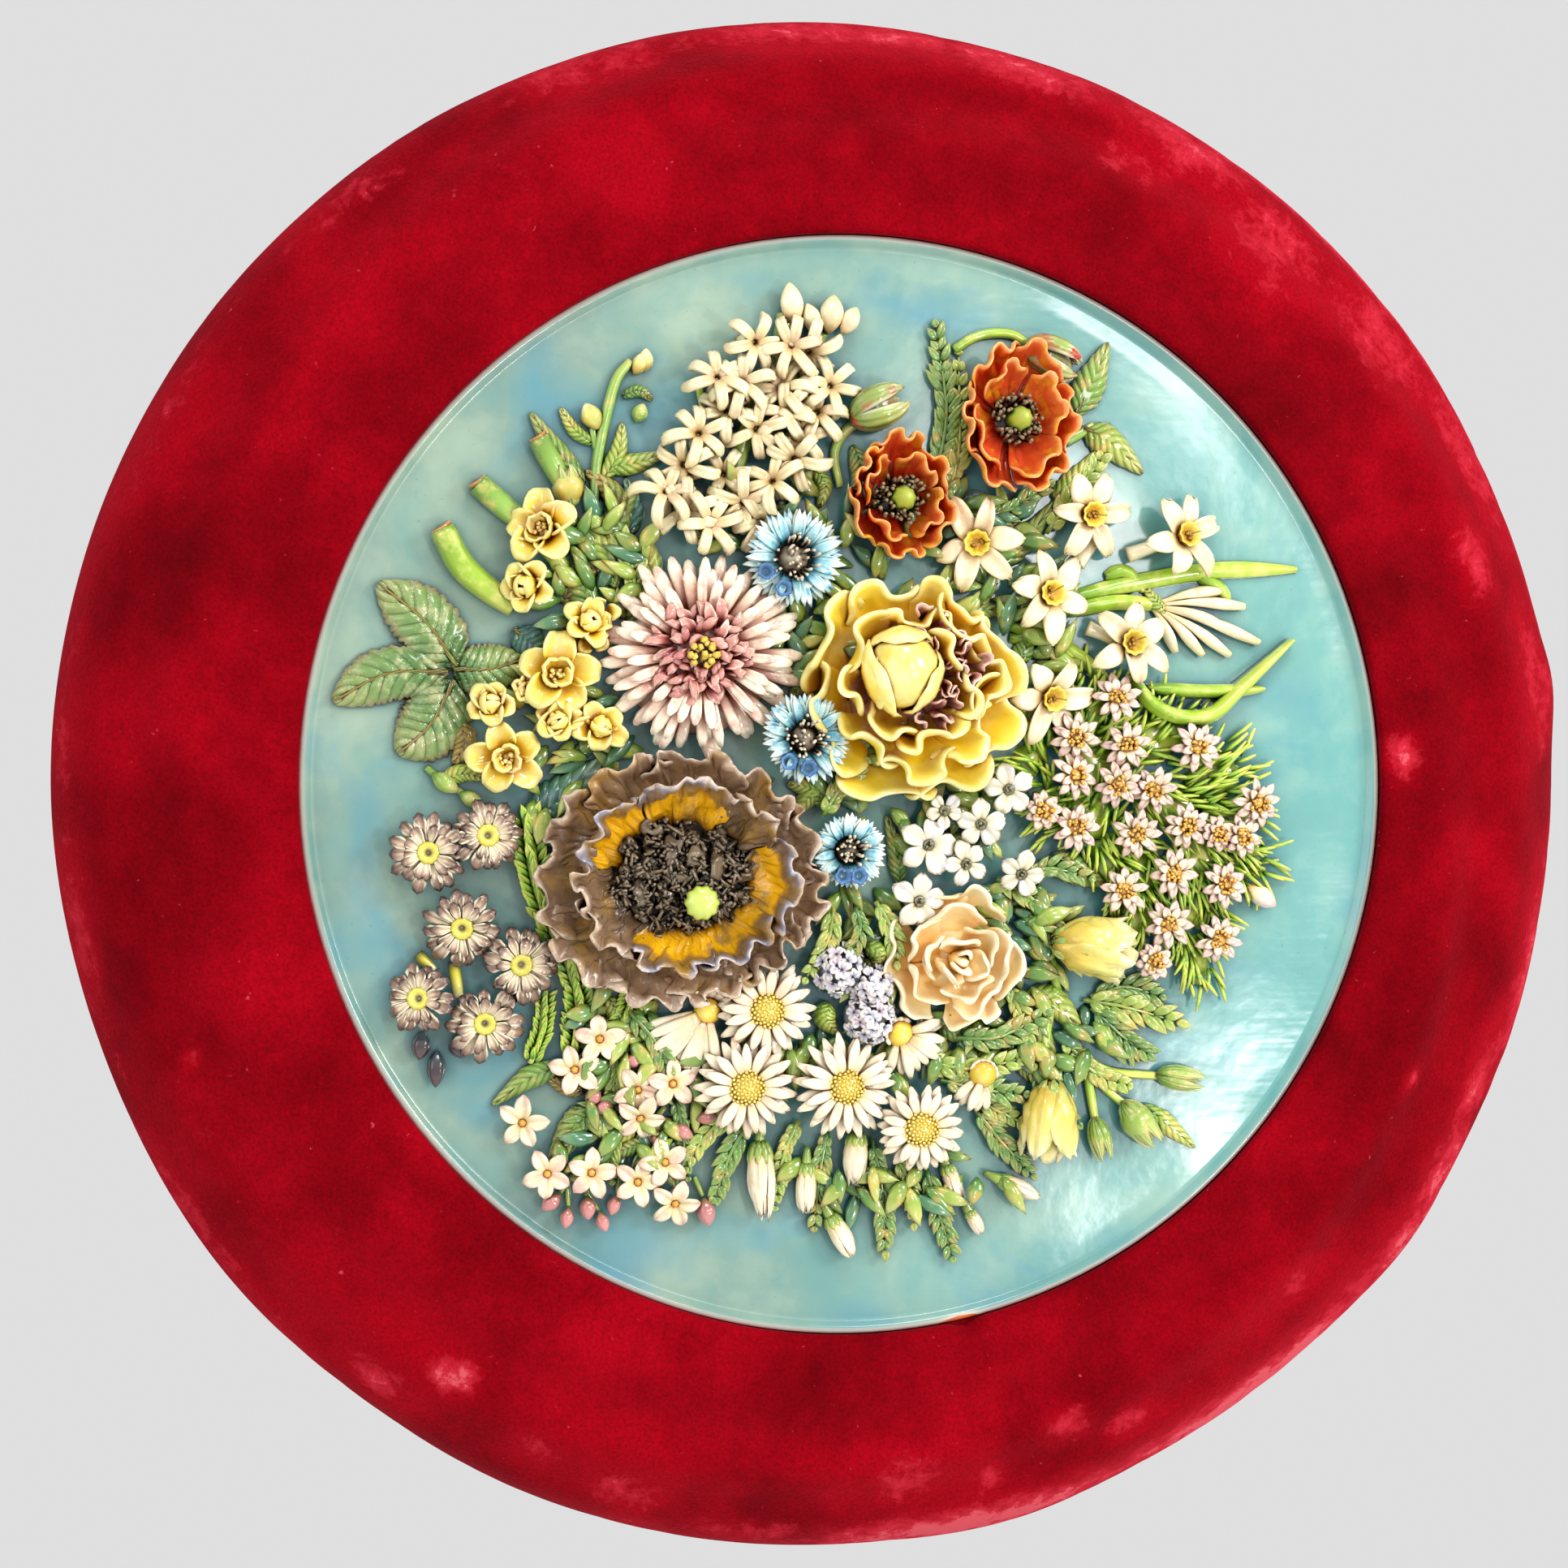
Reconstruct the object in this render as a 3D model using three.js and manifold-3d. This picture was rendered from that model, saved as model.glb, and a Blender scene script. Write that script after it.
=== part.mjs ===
// Round wall plaque: a glazed earthenware disc with flowers in high relief, set in a padded velvet ring
// and closed behind by a thin wooden board.
//
// World frame: millimetres, +Z up, +X to the viewer's right. The front faces -Y, the flat back lies on
// the wall at Y = 0, and the origin is the middle of that back. Everything is first modelled "face up":
// X to the right, Y up the wall, Z out from the wall. toWall() turns it into the world frame at the end.
import * as THREE from 'three';
import { mergeVertices } from 'three/addons/utils/BufferGeometryUtils.js';
import Module from 'manifold-3d';

const wasm = await Module();
wasm.setup();

// ---------------------------------------------------------------- driving dimensions
const OUTER_RADIUS = 300; // velvet ring at its widest
const PLATE_RADIUS = 207.6; // edge of the earthenware disc
const GAP = 0.3; // clearance where two pieces touch
const BOARD_THICKNESS = 7;
const BOARD_RADIUS = 284;
const PLATE_BACK = 37; // distances out from the wall
const GROUND = 50; // glazed ground that the flowers stand on
const LIP = 54; // raised lip round the disc
const LIP_WIDTH = 12;
const CREST = 61; // highest line of the padding
const REBATE = 12; // width of the ledge that carries the disc
const SINK = 3; // how deep a flower's foot goes into the ground
const BROAD_BUD = 12; // buds at least this wide are round in section, narrower ones are diamonds
const BROAD_LEAF = 9; // leaves wider than this have one more bend along them
const ROUND_STEPS = 44; // sides of the disc, the ring and the board, the same so that they nest

// ---------------------------------------------------------------- places on the disc
// Each row is a flower's middle: millimetres right of and above the middle of the disc, then its turn
// in degrees (and its width where the kind has several sizes).
const HYACINTH = [
  [-42, 164, 10], [-56, 150, 40], [-21, 162, 25], [-32, 147, 0], [-63, 129, 15],
  [-42, 131, 25], [-13, 149, 50], [-53, 114, 0], [-34, 112, 20], [-75, 107, 0],
  [-59, 96, 10], [-23, 130, 15], [-39, 97, 5],
];
const POPPIES = [[56, 138, 0, 54], [11, 107, 30, 48]];
const CORNFLOWERS = [[-27, 84, 0, 38], [-24, 17, 8, 34], [-8, -25, 4, 29]];
const NARCISSI = [[43, 91, 10], [72, 72, 40], [87, 103, 0], [125, 95, 20], [104, 54, 30], [72, 33, 0]];
const BUTTERCUPS = [
  [-119, 92, 0, 27], [-124, 73, 20, 23], [-114, 40, 10, 30], [-115, 21, 0, 21],
  [-100, 20, 40, 21], [-139, 28, 60, 20], [-134, 9, 30, 27], [-104, 58, 0, 20],
];
const AURICULAS = [
  [-161, -25, 0, 29], [-140, -19, 9, 27], [-150, -52, 0, 29], [-129, -66, 9, 28],
  [-165, -78, 0, 23], [-142, -87, 9, 27],
];
const DAISIES = [[-39, -84, 0, 38], [-46, -112, 7, 39], [-9, -113, 0, 41], [21, -129, 7, 34]];
const HALF_DAISIES = [[-70, -95, 200, 32], [20, -100, 320, 20]];
const STARS = [
  [-99, -94, 0], [-108, -105, 30], [-86, -114, 10], [-71, -112, 50], [-127, -123, 20],
  [-119, -143, 0], [-103, -142, 30], [-84, -146, 15], [-72, -156, 0],
];
const PHLOX = [[22, -23, 0, 22], [43, -14, 20, 20], [38, -30, 40, 18], [19, -44, 10, 21],
  [54, -1, 30, 22], [60, -34, 0, 17]];
const HEATH_STARS = [
  [98, 32, 18], [82, 18, 18], [129, 14, 15], [80, 1, 19], [109, -1, 18], [155, -7, 17],
  [82, -19, 17], [104, -20, 18], [125, -17, 17], [121, -35, 18], [101, -41, 18], [141, -39, 16],
  [119, -54, 18], [139, -60, 17],
];
const HEATH_TUFTS = [[96, -2, 10, 86], [130, -38, 0, 72]];
const LILACS = [[-10, -69, 0, 19], [2, -77, 0, 16], [2, -89, 0, 20]];
const BUDS = [ // middle, direction of the tip, length, width
  [-28, 179, 95, 15, 9], [-15, 177, 95, 15, 11], [-84, 156, 70, 9, 7], [-100, 136, 120, 11, 9],
  [-111, 108, 100, 12, 11], [5, 141, 25, 21, 15], [72, 164, 340, 21, 13], [158, -45, 320, 15, 9],
  [-165, -94, 260, 12, 7], [-158, -104, 270, 13, 6], [-39, -146, 275, 28, 14], [-3, -141, 275, 20, 15],
  [-21, -151, 270, 20, 10], [-9, -169, 290, 19, 12], [36, -151, 290, 17, 8], [59, -153, 330, 16, 8],
  [88, -62, 350, 27, 23], [71, -128, 270, 25, 18], [124, -114, 345, 17, 9], [108, -130, 300, 22, 12],
  [93, -134, 280, 15, 9], [-154, 0, 320, 20, 8],
];
const NARCISSUS_BUDS = [ // tips of the club-shaped buds that fan out of one point
  [143, 76], [152, 69], [144, 62], [158, 55], [135, 51], [145, 50], [123, 52],
];
const BUD_FAN = [112, 70];
const LEAVES = [ // from the stalk to the tip, width, sideways bow
  [-151, 43, -177, 71, 21, 2], [-156, 41, -192, 32, 18, 3], [-152, 39, -171, 13, 20, 6],
  [-150, 41, -128, 45, 16, 2], [-105, 112, -121, 135, 9, -2], [-97, 118, -76, 122, 8, 1],
  [-110, 66, -92, 86, 9, 0], [83, 142, 96, 168, 13, 2], [88, 137, 110, 121, 13, 3],
  [30, 114, 31, 173, 12, -3], [34, 103, 62, 99, 9, -2], [56, 90, 78, 110, 11, 0],
  [78, 116, 92, 128, 9, 0], [-98, 8, -126, -14, 18, 0], [-114, -105, -136, -118, 9, 3],
  [-102, -122, -116, -138, 12, 2], [4, -150, 8, -174, 9, 1], [25, -148, 33, -177, 9, -1],
  [50, -126, 63, -147, 9, 2], [30, -105, 56, -103, 9, 2], [62, -84, 82, -98, 16, 0],
  [88, -88, 124, -92, 26, 0], [112, -125, 131, -141, 7, 0],
];
const STRAPS = [ // points along a leaf blade or stalk, width, height
  [[[82, 71], [110, 78], [141, 82], [172, 83]], 7, 6],
  [[[60, 59], [76, 55], [97, 41]], 6, 5],
  [[[106, 42], [122, 27], [139, 28], [153, 41], [171, 55]], 6, 6],
  [[[118, 37], [159, 37]], 5, 3],
  [[[-155, 92], [-147, 77], [-131, 66]], 11, 10],
  [[[-144, 111], [-126, 96]], 9, 9],
  [[[-121, 128], [-110, 107]], 9, 9],
  [[[-101, 100], [-95, 138], [-88, 158]], 5, 5],
  [[[2, 135], [-10, 128], [-9, 112]], 4, 5],
  [[[44, 169], [68, 170]], 4, 4],
  [[[-125, -14], [-115, -58]], 8, 6],
  [[[-113, -62], [-108, -101]], 7, 5],
  [[[-119, -80], [-123, -103]], 5, 4],
  [[[64, -50], [76, -80], [84, -104], [122, -113]], 4, 4],
  [[[77, -84], [72, -118]], 5, 5],
  [[[86, -107], [106, -128]], 4, 4],
];

// ---------------------------------------------------------------- helpers
const radians = THREE.MathUtils.degToRad;

/** Closed solid from a three.js geometry: shared vertices merged, collapsed triangles left out. */
function solid(geometry) {
  const bare = geometry.clone();
  bare.deleteAttribute('normal');
  bare.deleteAttribute('uv');
  const merged = mergeVertices(bare, 1e-3);
  const corners = merged.index.array;
  const kept = [];
  for (let i = 0; i < corners.length; i += 3) {
    const [a, b, c] = corners.slice(i, i + 3);
    if (a !== b && b !== c && c !== a) {
      kept.push(a, b, c);
    }
  }
  return new wasm.Manifold(new wasm.Mesh({
    numProp: 3,
    vertProperties: new Float32Array(merged.attributes.position.array),
    triVerts: new Uint32Array(kept),
  }));
}

/** three.js geometry from a solid, turned from face up to facing the room. */
function toWall(body) {
  const mesh = body.getMesh();
  const geometry = new THREE.BufferGeometry();
  geometry.setAttribute('position', new THREE.BufferAttribute(new Float32Array(mesh.vertProperties), 3));
  geometry.setIndex([...mesh.triVerts]);
  geometry.rotateX(Math.PI / 2);
  geometry.computeVertexNormals();
  return geometry;
}

/** Moves every vertex of a geometry by a function of its place. */
function reshape(geometry, move) {
  const places = geometry.attributes.position;
  const p = new THREE.Vector3();
  for (let i = 0; i < places.count; i += 1) {
    p.fromBufferAttribute(places, i);
    move(p);
    places.setXYZ(i, p.x, p.y, p.z);
  }
  return geometry;
}

/** Turned solid round the Z axis from rows of [radius, height], lowest row first. */
function turned(rows, steps) {
  const profile = rows.map(([radius, height]) => new THREE.Vector2(radius, height));
  return new THREE.LatheGeometry(profile, steps, Math.PI / 2).rotateX(Math.PI / 2);
}

/** Puts a face-up geometry on the ground of the disc and makes it a solid. */
function stand(geometry, x = 0, y = 0, turn = 0) {
  return solid(geometry.rotateZ(radians(turn)).translate(x, y, GROUND));
}

/**
 * A flower head seen from above: rows of [share of the radius, height, share of the notch], with the
 * outline pulled in between the petals by `notch` and let down there by `dip`. A pointed petal has one
 * corner between two notches, a broad one has two.
 */
function bloom(across, petals, rows, notch, dip, corners = 1) {
  const radius = across / 2;
  const steps = petals * (corners + 1);
  const whole = [[0, -SINK], ...rows.map(([share, height]) => [share * radius, height])];
  return reshape(turned(whole, steps), (p) => {
    const reach = Math.hypot(p.x, p.y);
    const row = rows.find(([share, height]) => (
      Math.abs(share * radius - reach) < 0.01 && Math.abs(height - p.z) < 0.01
    ));
    const step = Math.round(Math.atan2(p.y, p.x) / (2 * Math.PI / steps)) + steps;
    if (row && step % (corners + 1) === 0) {
      p.x *= 1 - notch * row[2];
      p.y *= 1 - notch * row[2];
      p.z -= dip * row[2];
    }
  });
}

/** A tapering form along a curve that lies on the ground: leaf, strap, stalk or bud. */
function alongCurve(points, sides, steps, halfWidth, top) {
  const curve = new THREE.CatmullRomCurve3(points.map(([x, y]) => new THREE.Vector3(x, y, 0)));
  const rod = new THREE.CylinderGeometry(1, 1, 1, sides, steps);
  reshape(rod, (p) => {
    const t = 0.5 - p.y;
    const middle = curve.getPointAt(THREE.MathUtils.clamp(t, 0, 1));
    const ahead = curve.getTangentAt(THREE.MathUtils.clamp(t, 0, 1));
    const across = p.x * halfWidth(t);
    const height = p.z > 0 ? p.z * top(t) : p.z * SINK;
    p.set(middle.x - ahead.y * across, middle.y + ahead.x * across, height);
  });
  return rod;
}

const leafWidth = (t) => Math.sin(Math.PI * Math.min(0.97, 0.06 + 0.9 * t) ** 0.8) + 0.03;
const budWidth = (t) => Math.sin(Math.PI * (0.12 + 0.8 * t)) ** 0.7;
const strapWidth = (t) => Math.min(1, 0.35 + 4 * t, 0.25 + 5 * (1 - t));

// ---------------------------------------------------------------- the relief, kind by kind
const hyacinth = () => HYACINTH.map(([x, y, turn]) => stand(
  bloom(25, 6, [[0.3, 0, 0], [1, 9, 1], [0, 13, 0]], 0.5, 3), x, y, turn,
));

const narcissi = () => NARCISSI.map(([x, y, turn]) => stand(
  bloom(34, 6, [[0.4, 0, 1], [1, 8, 1], [0.3, 14, 0], [0, 11, 0]], 0.5, 3), x, y, turn,
));

const stars = () => STARS.map(([x, y, turn]) => stand(
  bloom(17, 5, [[0.5, 0, 1], [1, 7, 1], [0, 9, 0]], 0.5, 1), x, y, turn,
));

const phlox = () => PHLOX.map(([x, y, turn, across]) => stand(
  bloom(across, 5, [[0.4, 0, 1], [1, 16, 1], [0, 14, 0]], 0.4, 2), x, y, turn,
));

const heath = () => [
  ...HEATH_STARS.map(([x, y, across]) => stand(
    bloom(across - 1, 5, [[0.3, 6, 0], [1, 11, 1], [0, 13, 0]], 0.35, 2), x, y, x * y,
  )),
  ...HEATH_TUFTS.map(([x, y, turn, across]) => stand(
    bloom(across, 9, [[1, 0, 1], [1, 3, 1], [0.7, 6, 0], [0, 6, 0]], 0.2, 0), x, y, turn,
  )),
];

const buttercups = () => BUTTERCUPS.map(([x, y, turn, across]) => stand(
  bloom(across, 5, [[0.5, 0, 1], [1, 12, 1], [0, 10, 0]], 0.22, 4), x, y, turn,
));

const auriculas = () => AURICULAS.map(([x, y, turn, across]) => stand(
  bloom(across, 7, [[0.5, 0, 0], [1, 11, 1], [0, 9, 0]], 0.12, 3), x, y, turn,
));

const cornflowers = () => CORNFLOWERS.map(([x, y, turn, across]) => stand(
  bloom(across, 8, [[0.4, 0, 0], [1, 18, 1], [0.45, 15, 0], [0, 21, 0]], 0.2, 3), x, y, turn,
));

const daisies = () => DAISIES.map(([x, y, turn, across]) => stand(
  bloom(across, 8, [[0.3, 0, 0], [1, 12, 1], [0.25, 14, 0], [0, 18, 0]], 0.2, 3), x, y, turn,
));

const halfDaisies = () => HALF_DAISIES.map(([x, y, turn, across]) => stand(
  bloom(across, 7, [[0.5, 0, 0], [1, 8, 1], [0, 13, 0]], 0.2, 3), x, y, turn,
));

const lilacs = () => LILACS.map(([x, y, turn, across]) => stand(
  bloom(across, 5, [[0.8, 0, 1], [1, 12, 1], [0, 19, 0]], 0.2, 1), x, y, turn,
));

const buds = () => BUDS.map(([x, y, direction, length, width]) => {
  const reach = new THREE.Vector2(length / 2, 0).rotateAround(new THREE.Vector2(), radians(direction));
  const ends = [[x - reach.x, y - reach.y], [x + reach.x, y + reach.y]];
  const sides = width < BROAD_BUD ? 4 : 8;
  const half = (t) => budWidth(t) * width / 2;
  const top = (t) => budWidth(t) * (2 + width * 0.62);
  return stand(alongCurve(ends, sides, 2, half, top));
});

const narcissusBuds = () => NARCISSUS_BUDS.map((tip) => {
  const half = (t) => 0.8 + 2.4 * Math.min(t, 0.9);
  const top = (t) => 2 + 3 * Math.min(t, 0.9);
  return stand(alongCurve([BUD_FAN, tip], 4, 2, half, top));
});

const leaves = () => LEAVES.map(([x0, y0, x1, y1, width, bow]) => {
  const side = new THREE.Vector2(y0 - y1, x1 - x0).normalize().multiplyScalar(bow);
  const middle = [(x0 + x1) / 2 + side.x, (y0 + y1) / 2 + side.y];
  const steps = width > BROAD_LEAF ? 3 : 2;
  const half = (t) => leafWidth(t) * width / 2;
  const top = (t) => 1 + 4.5 * leafWidth(t);
  return stand(alongCurve([[x0, y0], middle, [x1, y1]], 4, steps, half, top));
});

const straps = () => STRAPS.map(([points, width, height]) => stand(
  alongCurve(points, 4, points.length, (t) => strapWidth(t) * width / 2, () => height),
));

/** Pink double aster: two ranks of rays that climb to a small eye. */
const aster = () => [stand(bloom(78, 13, [
  [0.5, 0, 0], [1, 9, 1], [0.62, 20, 0.4], [0.16, 25, 0], [0, 28, 0],
], 0.13, 3), -63, 48)];

/** Two scarlet poppies: a ruffled bowl, a ring of stamens and a seed capsule. */
const poppies = () => POPPIES.map(([x, y, turn, across]) => stand(bloom(across, 5, [
  [0.4, 0, 0], [1, 23, 1], [0.8, 26, 0.6], [0.42, 12, 0], [0.2, 20, 0], [0, 27, 0],
], 0.2, 6, 2), x, y, turn));

/** Great dark poppy: two wide tiers of ruffled petals round a mass of stamens, with its capsule. */
const darkPoppy = () => [
  stand(bloom(104, 7, [
    [0.6, 0, 1], [1, 22, 1], [0.8, 24, 0.3], [0.74, 35, 1], [0.5, 20, 0], [0.42, 28, 0], [0, 30, 0],
  ], 0.14, 7, 2), -71, -34, 10),
  stand(bloom(12, 4, [[1, 28, 0], [0, 38, 0]], 0, 0), -64, -43),
];

/** Yellow peony: three tiers of broad cupped petals round a closed ball. */
const peony = () => [
  stand(bloom(86, 7, [
    [0.5, 0, 1], [1, 25, 1], [0.72, 18, 0.2], [0.66, 36, 1], [0.4, 24, 0], [0, 24, 0],
  ], 0.16, 7, 2), 16, 35, 20),
  stand(bloom(27, 5, [[0.8, 22, 0], [1, 34, 0.4], [0.6, 43, 0.4], [0, 45, 0]], 0.1, 0), 11, 42),
];

/** Peach rose: a broad outer ring of petals and a rolled heart. */
const rose = () => [stand(bloom(52, 5, [
  [0.5, 0, 1], [1, 20, 1], [0.74, 22, 0.4], [0.66, 30, 0.8], [0.36, 22, 0], [0.26, 31, 0], [0, 28, 0],
], 0.14, 4, 2), 34, -66)];

// ---------------------------------------------------------------- the pieces
/** The disc with its raised lip, and the relief grown out of it: one piece of fired clay. */
function plaque() {
  const disc = solid(turned([
    [0, PLATE_BACK], [PLATE_RADIUS, PLATE_BACK], [PLATE_RADIUS, LIP], [PLATE_RADIUS - LIP_WIDTH, GROUND],
    [0, GROUND],
  ], ROUND_STEPS));
  const kinds = [
    hyacinth, narcissi, stars, phlox, heath, buttercups, auriculas, cornflowers, daisies, halfDaisies,
    lilacs, buds, narcissusBuds, leaves, straps, aster, poppies, darkPoppy, peony, rose,
  ];
  let body = disc;
  for (const kind of kinds) {
    for (const piece of kind()) {
      body = body.add(piece);
    }
  }
  return body;
}

/** How far the padding swells or sinks at an angle round the ring, as its stuffing is uneven. */
function swelling(angle) {
  const bump = (at, width, height) => {
    const away = Math.atan2(Math.sin(angle - radians(at)), Math.cos(angle - radians(at)));
    return height * Math.exp(-((away / radians(width)) ** 2));
  };
  return bump(8, 4, 3) + bump(-38, 6, 2) + bump(-77, 8, 3) - bump(-128, 10, 4) - bump(200, 14, 1.5);
}

/** The padded ring: a broad soft roll with a rebate behind that carries the disc. */
function velvetFrame() {
  const inner = PLATE_RADIUS + GAP;
  const ledge = PLATE_BACK - GAP;
  const back = BOARD_THICKNESS + GAP;
  const profile = [
    [inner - REBATE, back], [inner - REBATE, ledge], [inner, ledge], [inner, LIP], [inner + 9, CREST - 2],
    [inner + 30, CREST], [inner + 62, CREST - 12], [inner + 83, CREST - 29], [OUTER_RADIUS, 18],
    [OUTER_RADIUS - 8, back], [inner - REBATE, back],
  ];
  const ring = turned(profile.reverse(), ROUND_STEPS);
  reshape(ring, (p) => {
    const reach = Math.hypot(p.x, p.y);
    const share = THREE.MathUtils.smoothstep(reach, inner + 24, OUTER_RADIUS - 4);
    const grown = 1 + share * swelling(Math.atan2(p.y, p.x)) / reach;
    p.x *= grown;
    p.y *= grown;
  });
  return solid(ring);
}

/** The round board that closes the back and lies flat on the wall. */
function backBoard() {
  const board = new THREE.CylinderGeometry(BOARD_RADIUS, BOARD_RADIUS, BOARD_THICKNESS, ROUND_STEPS);
  return solid(board.rotateX(Math.PI / 2).translate(0, 0, BOARD_THICKNESS / 2));
}

// ---------------------------------------------------------------- the object
const glaze = new THREE.MeshStandardMaterial({ color: '#8fb8ae', roughness: 0.25, metalness: 0 });
const velvet = new THREE.MeshStandardMaterial({ color: '#97021b', roughness: 0.95, metalness: 0 });
const wood = new THREE.MeshStandardMaterial({ color: '#8a6a47', roughness: 0.7, metalness: 0 });

const object = new THREE.Group();
for (const [name, body, material] of [
  ['plaque', plaque(), glaze],
  ['velvet_frame', velvetFrame(), velvet],
  ['back_board', backBoard(), wood],
]) {
  const mesh = new THREE.Mesh(toWall(body), material);
  mesh.name = name;
  object.add(mesh);
}

export default object;
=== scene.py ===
from math import cos, pi, radians, sin

import bpy
import numpy as np
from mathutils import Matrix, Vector


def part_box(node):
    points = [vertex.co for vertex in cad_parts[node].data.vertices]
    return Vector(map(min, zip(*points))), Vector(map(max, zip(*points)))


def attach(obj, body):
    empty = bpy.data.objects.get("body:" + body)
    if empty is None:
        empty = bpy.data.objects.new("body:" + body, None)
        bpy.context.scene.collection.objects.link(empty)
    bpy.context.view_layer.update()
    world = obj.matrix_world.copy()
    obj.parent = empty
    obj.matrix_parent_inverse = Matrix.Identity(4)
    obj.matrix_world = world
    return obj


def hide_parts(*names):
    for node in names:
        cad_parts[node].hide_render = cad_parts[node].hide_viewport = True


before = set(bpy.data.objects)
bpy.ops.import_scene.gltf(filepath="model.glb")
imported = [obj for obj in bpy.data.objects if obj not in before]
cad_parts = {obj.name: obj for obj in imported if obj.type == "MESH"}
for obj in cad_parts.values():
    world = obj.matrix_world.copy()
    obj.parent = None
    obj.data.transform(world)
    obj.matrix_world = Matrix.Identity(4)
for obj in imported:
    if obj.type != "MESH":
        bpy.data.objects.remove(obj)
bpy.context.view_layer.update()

# A round plaque of glazed earthenware with a bouquet in high relief, in a padded velvet ring.
# All modelling is "face up" in millimetres: x to the right, y up the wall, z out from the wall.
# fire() turns it into the row frame: metres, the front towards -Y and +Z up.
disc_low, disc_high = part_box("plaque")
ring_low, ring_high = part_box("velvet_frame")
board_low, board_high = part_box("back_board")

MM = 0.001
DISC_RADIUS = disc_high.x / MM
DISC_BACK = -disc_high.y / MM
GROUND = DISC_BACK + 13  # the glazed ground that the flowers stand on
LIP = GROUND + 4
BOARD_FRONT = -board_low.y / MM
CREST = -ring_low.y / MM  # highest line of the padding
RING_RADIUS = ring_high.x / MM

LIGHT = 0.7  # share of the rows that a sheet, rod or turned form is given, so that the bouquet stays light

chance = np.random.default_rng(11)


# ---------------------------------------------------------------- clay forms
def flowing(values, share):
    """Smooth curve through values that are spaced evenly from share 0 to 1."""
    values = np.asarray(values, float)
    spans = len(values) - 1
    place = np.clip(share, 0, 1) * spans
    first = np.minimum(place.astype(int), spans - 1)
    f = place - first
    if values.ndim > 1:
        f = f[..., None]
    ends = np.concatenate([[2 * values[0] - values[1]], values, [2 * values[-1] - values[-2]]])
    a, b, c, d = ends[first], ends[first + 1], ends[first + 2], ends[first + 3]
    return b + 0.5 * f * (c - a + f * (2 * a - 5 * b + 4 * c - d + f * (3 * (b - c) + d - a)))


class Form:
    """One closed form: its points, its faces, and the marks that its glaze reads (along, across, tint)."""

    def __init__(self, points, faces, marks, glaze=0):
        self.points, self.faces, self.marks, self.glaze = points, faces, marks, glaze

    def spin(self, degrees):
        c, s = cos(radians(degrees)), sin(radians(degrees))
        self.points = self.points @ np.array([[c, s, 0], [-s, c, 0], [0, 0, 1]])
        return self

    def lean(self, degrees, toward=0):
        """Tips the top over by some degrees towards a direction."""
        self.spin(-toward)
        c, s = cos(radians(degrees)), sin(radians(degrees))
        self.points = self.points @ np.array([[c, 0, -s], [0, 1, 0], [s, 0, c]])
        return self.spin(toward)

    def move(self, x=0, y=0, z=0):
        self.points = self.points + np.array([x, y, z], float)
        return self

    def stretch(self, x=1, y=1, z=1):
        self.points = self.points * np.array([x, y, z], float)
        return self

    def tint(self, share):
        """Lighter or darker glaze on the whole form."""
        self.marks[:, 2] = share
        return self

    def knead(self, amount, length):
        """Uneven hand modelling: slow waves of some height and length."""
        for _ in range(3):
            way = chance.normal(size=3)
            way *= 2 * pi / length / np.linalg.norm(way)
            push = chance.normal(size=3) * amount * 0.6
            self.points = self.points + np.sin(self.points @ way + chance.uniform(0, 6))[:, None] * push
        return self


def marks_of(along, across, tint=None):
    tint = chance.uniform() if tint is None else tint
    return np.stack([along.ravel(), across.ravel(), np.full(along.size, tint)], axis=1)


def sheet(middle, thickness, across=9, along=12, glaze=0, tint=None):
    """Sheet of clay with rounded edges; middle(u, v) is its middle, u from -1 to 1 and v from 0 to 1."""
    across, along = max(5, 2 * int(across * LIGHT / 2) + 1), max(6, int(along * LIGHT + 0.5))
    u, v = np.meshgrid(np.linspace(-1, 1, across), np.linspace(0, 1, along), indexing="ij")
    core = middle(u, v)
    normal = np.cross(np.gradient(core, axis=1), np.gradient(core, axis=0))
    normal /= np.linalg.norm(normal, axis=2, keepdims=True) + 1e-9
    rim = np.maximum(abs(u), abs(2 * v - 1)) ** 9
    half = (thickness / 2 * (1 - 0.65 * rim))[..., None]
    points = np.concatenate([(core + normal * half).reshape(-1, 3), (core - normal * half).reshape(-1, 3)])
    at = np.arange(across * along).reshape(across, along)
    a, b, c, d = at[:-1, :-1], at[:-1, 1:], at[1:, 1:], at[1:, :-1]
    top = np.stack([a, b, c, d], axis=-1).reshape(-1, 4)
    under = top[:, ::-1] + at.size
    edge = np.concatenate([at[0, :-1], at[:-1, -1], at[-1, :0:-1], at[:0:-1, 0]])
    after = np.roll(edge, -1)
    side = np.stack([after, edge, edge + at.size, after + at.size], axis=1)
    one = marks_of(v, (u + 1) / 2, tint)
    return Form(points, np.concatenate([top, under, side]).tolist(), np.concatenate([one, one]), glaze)


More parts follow.
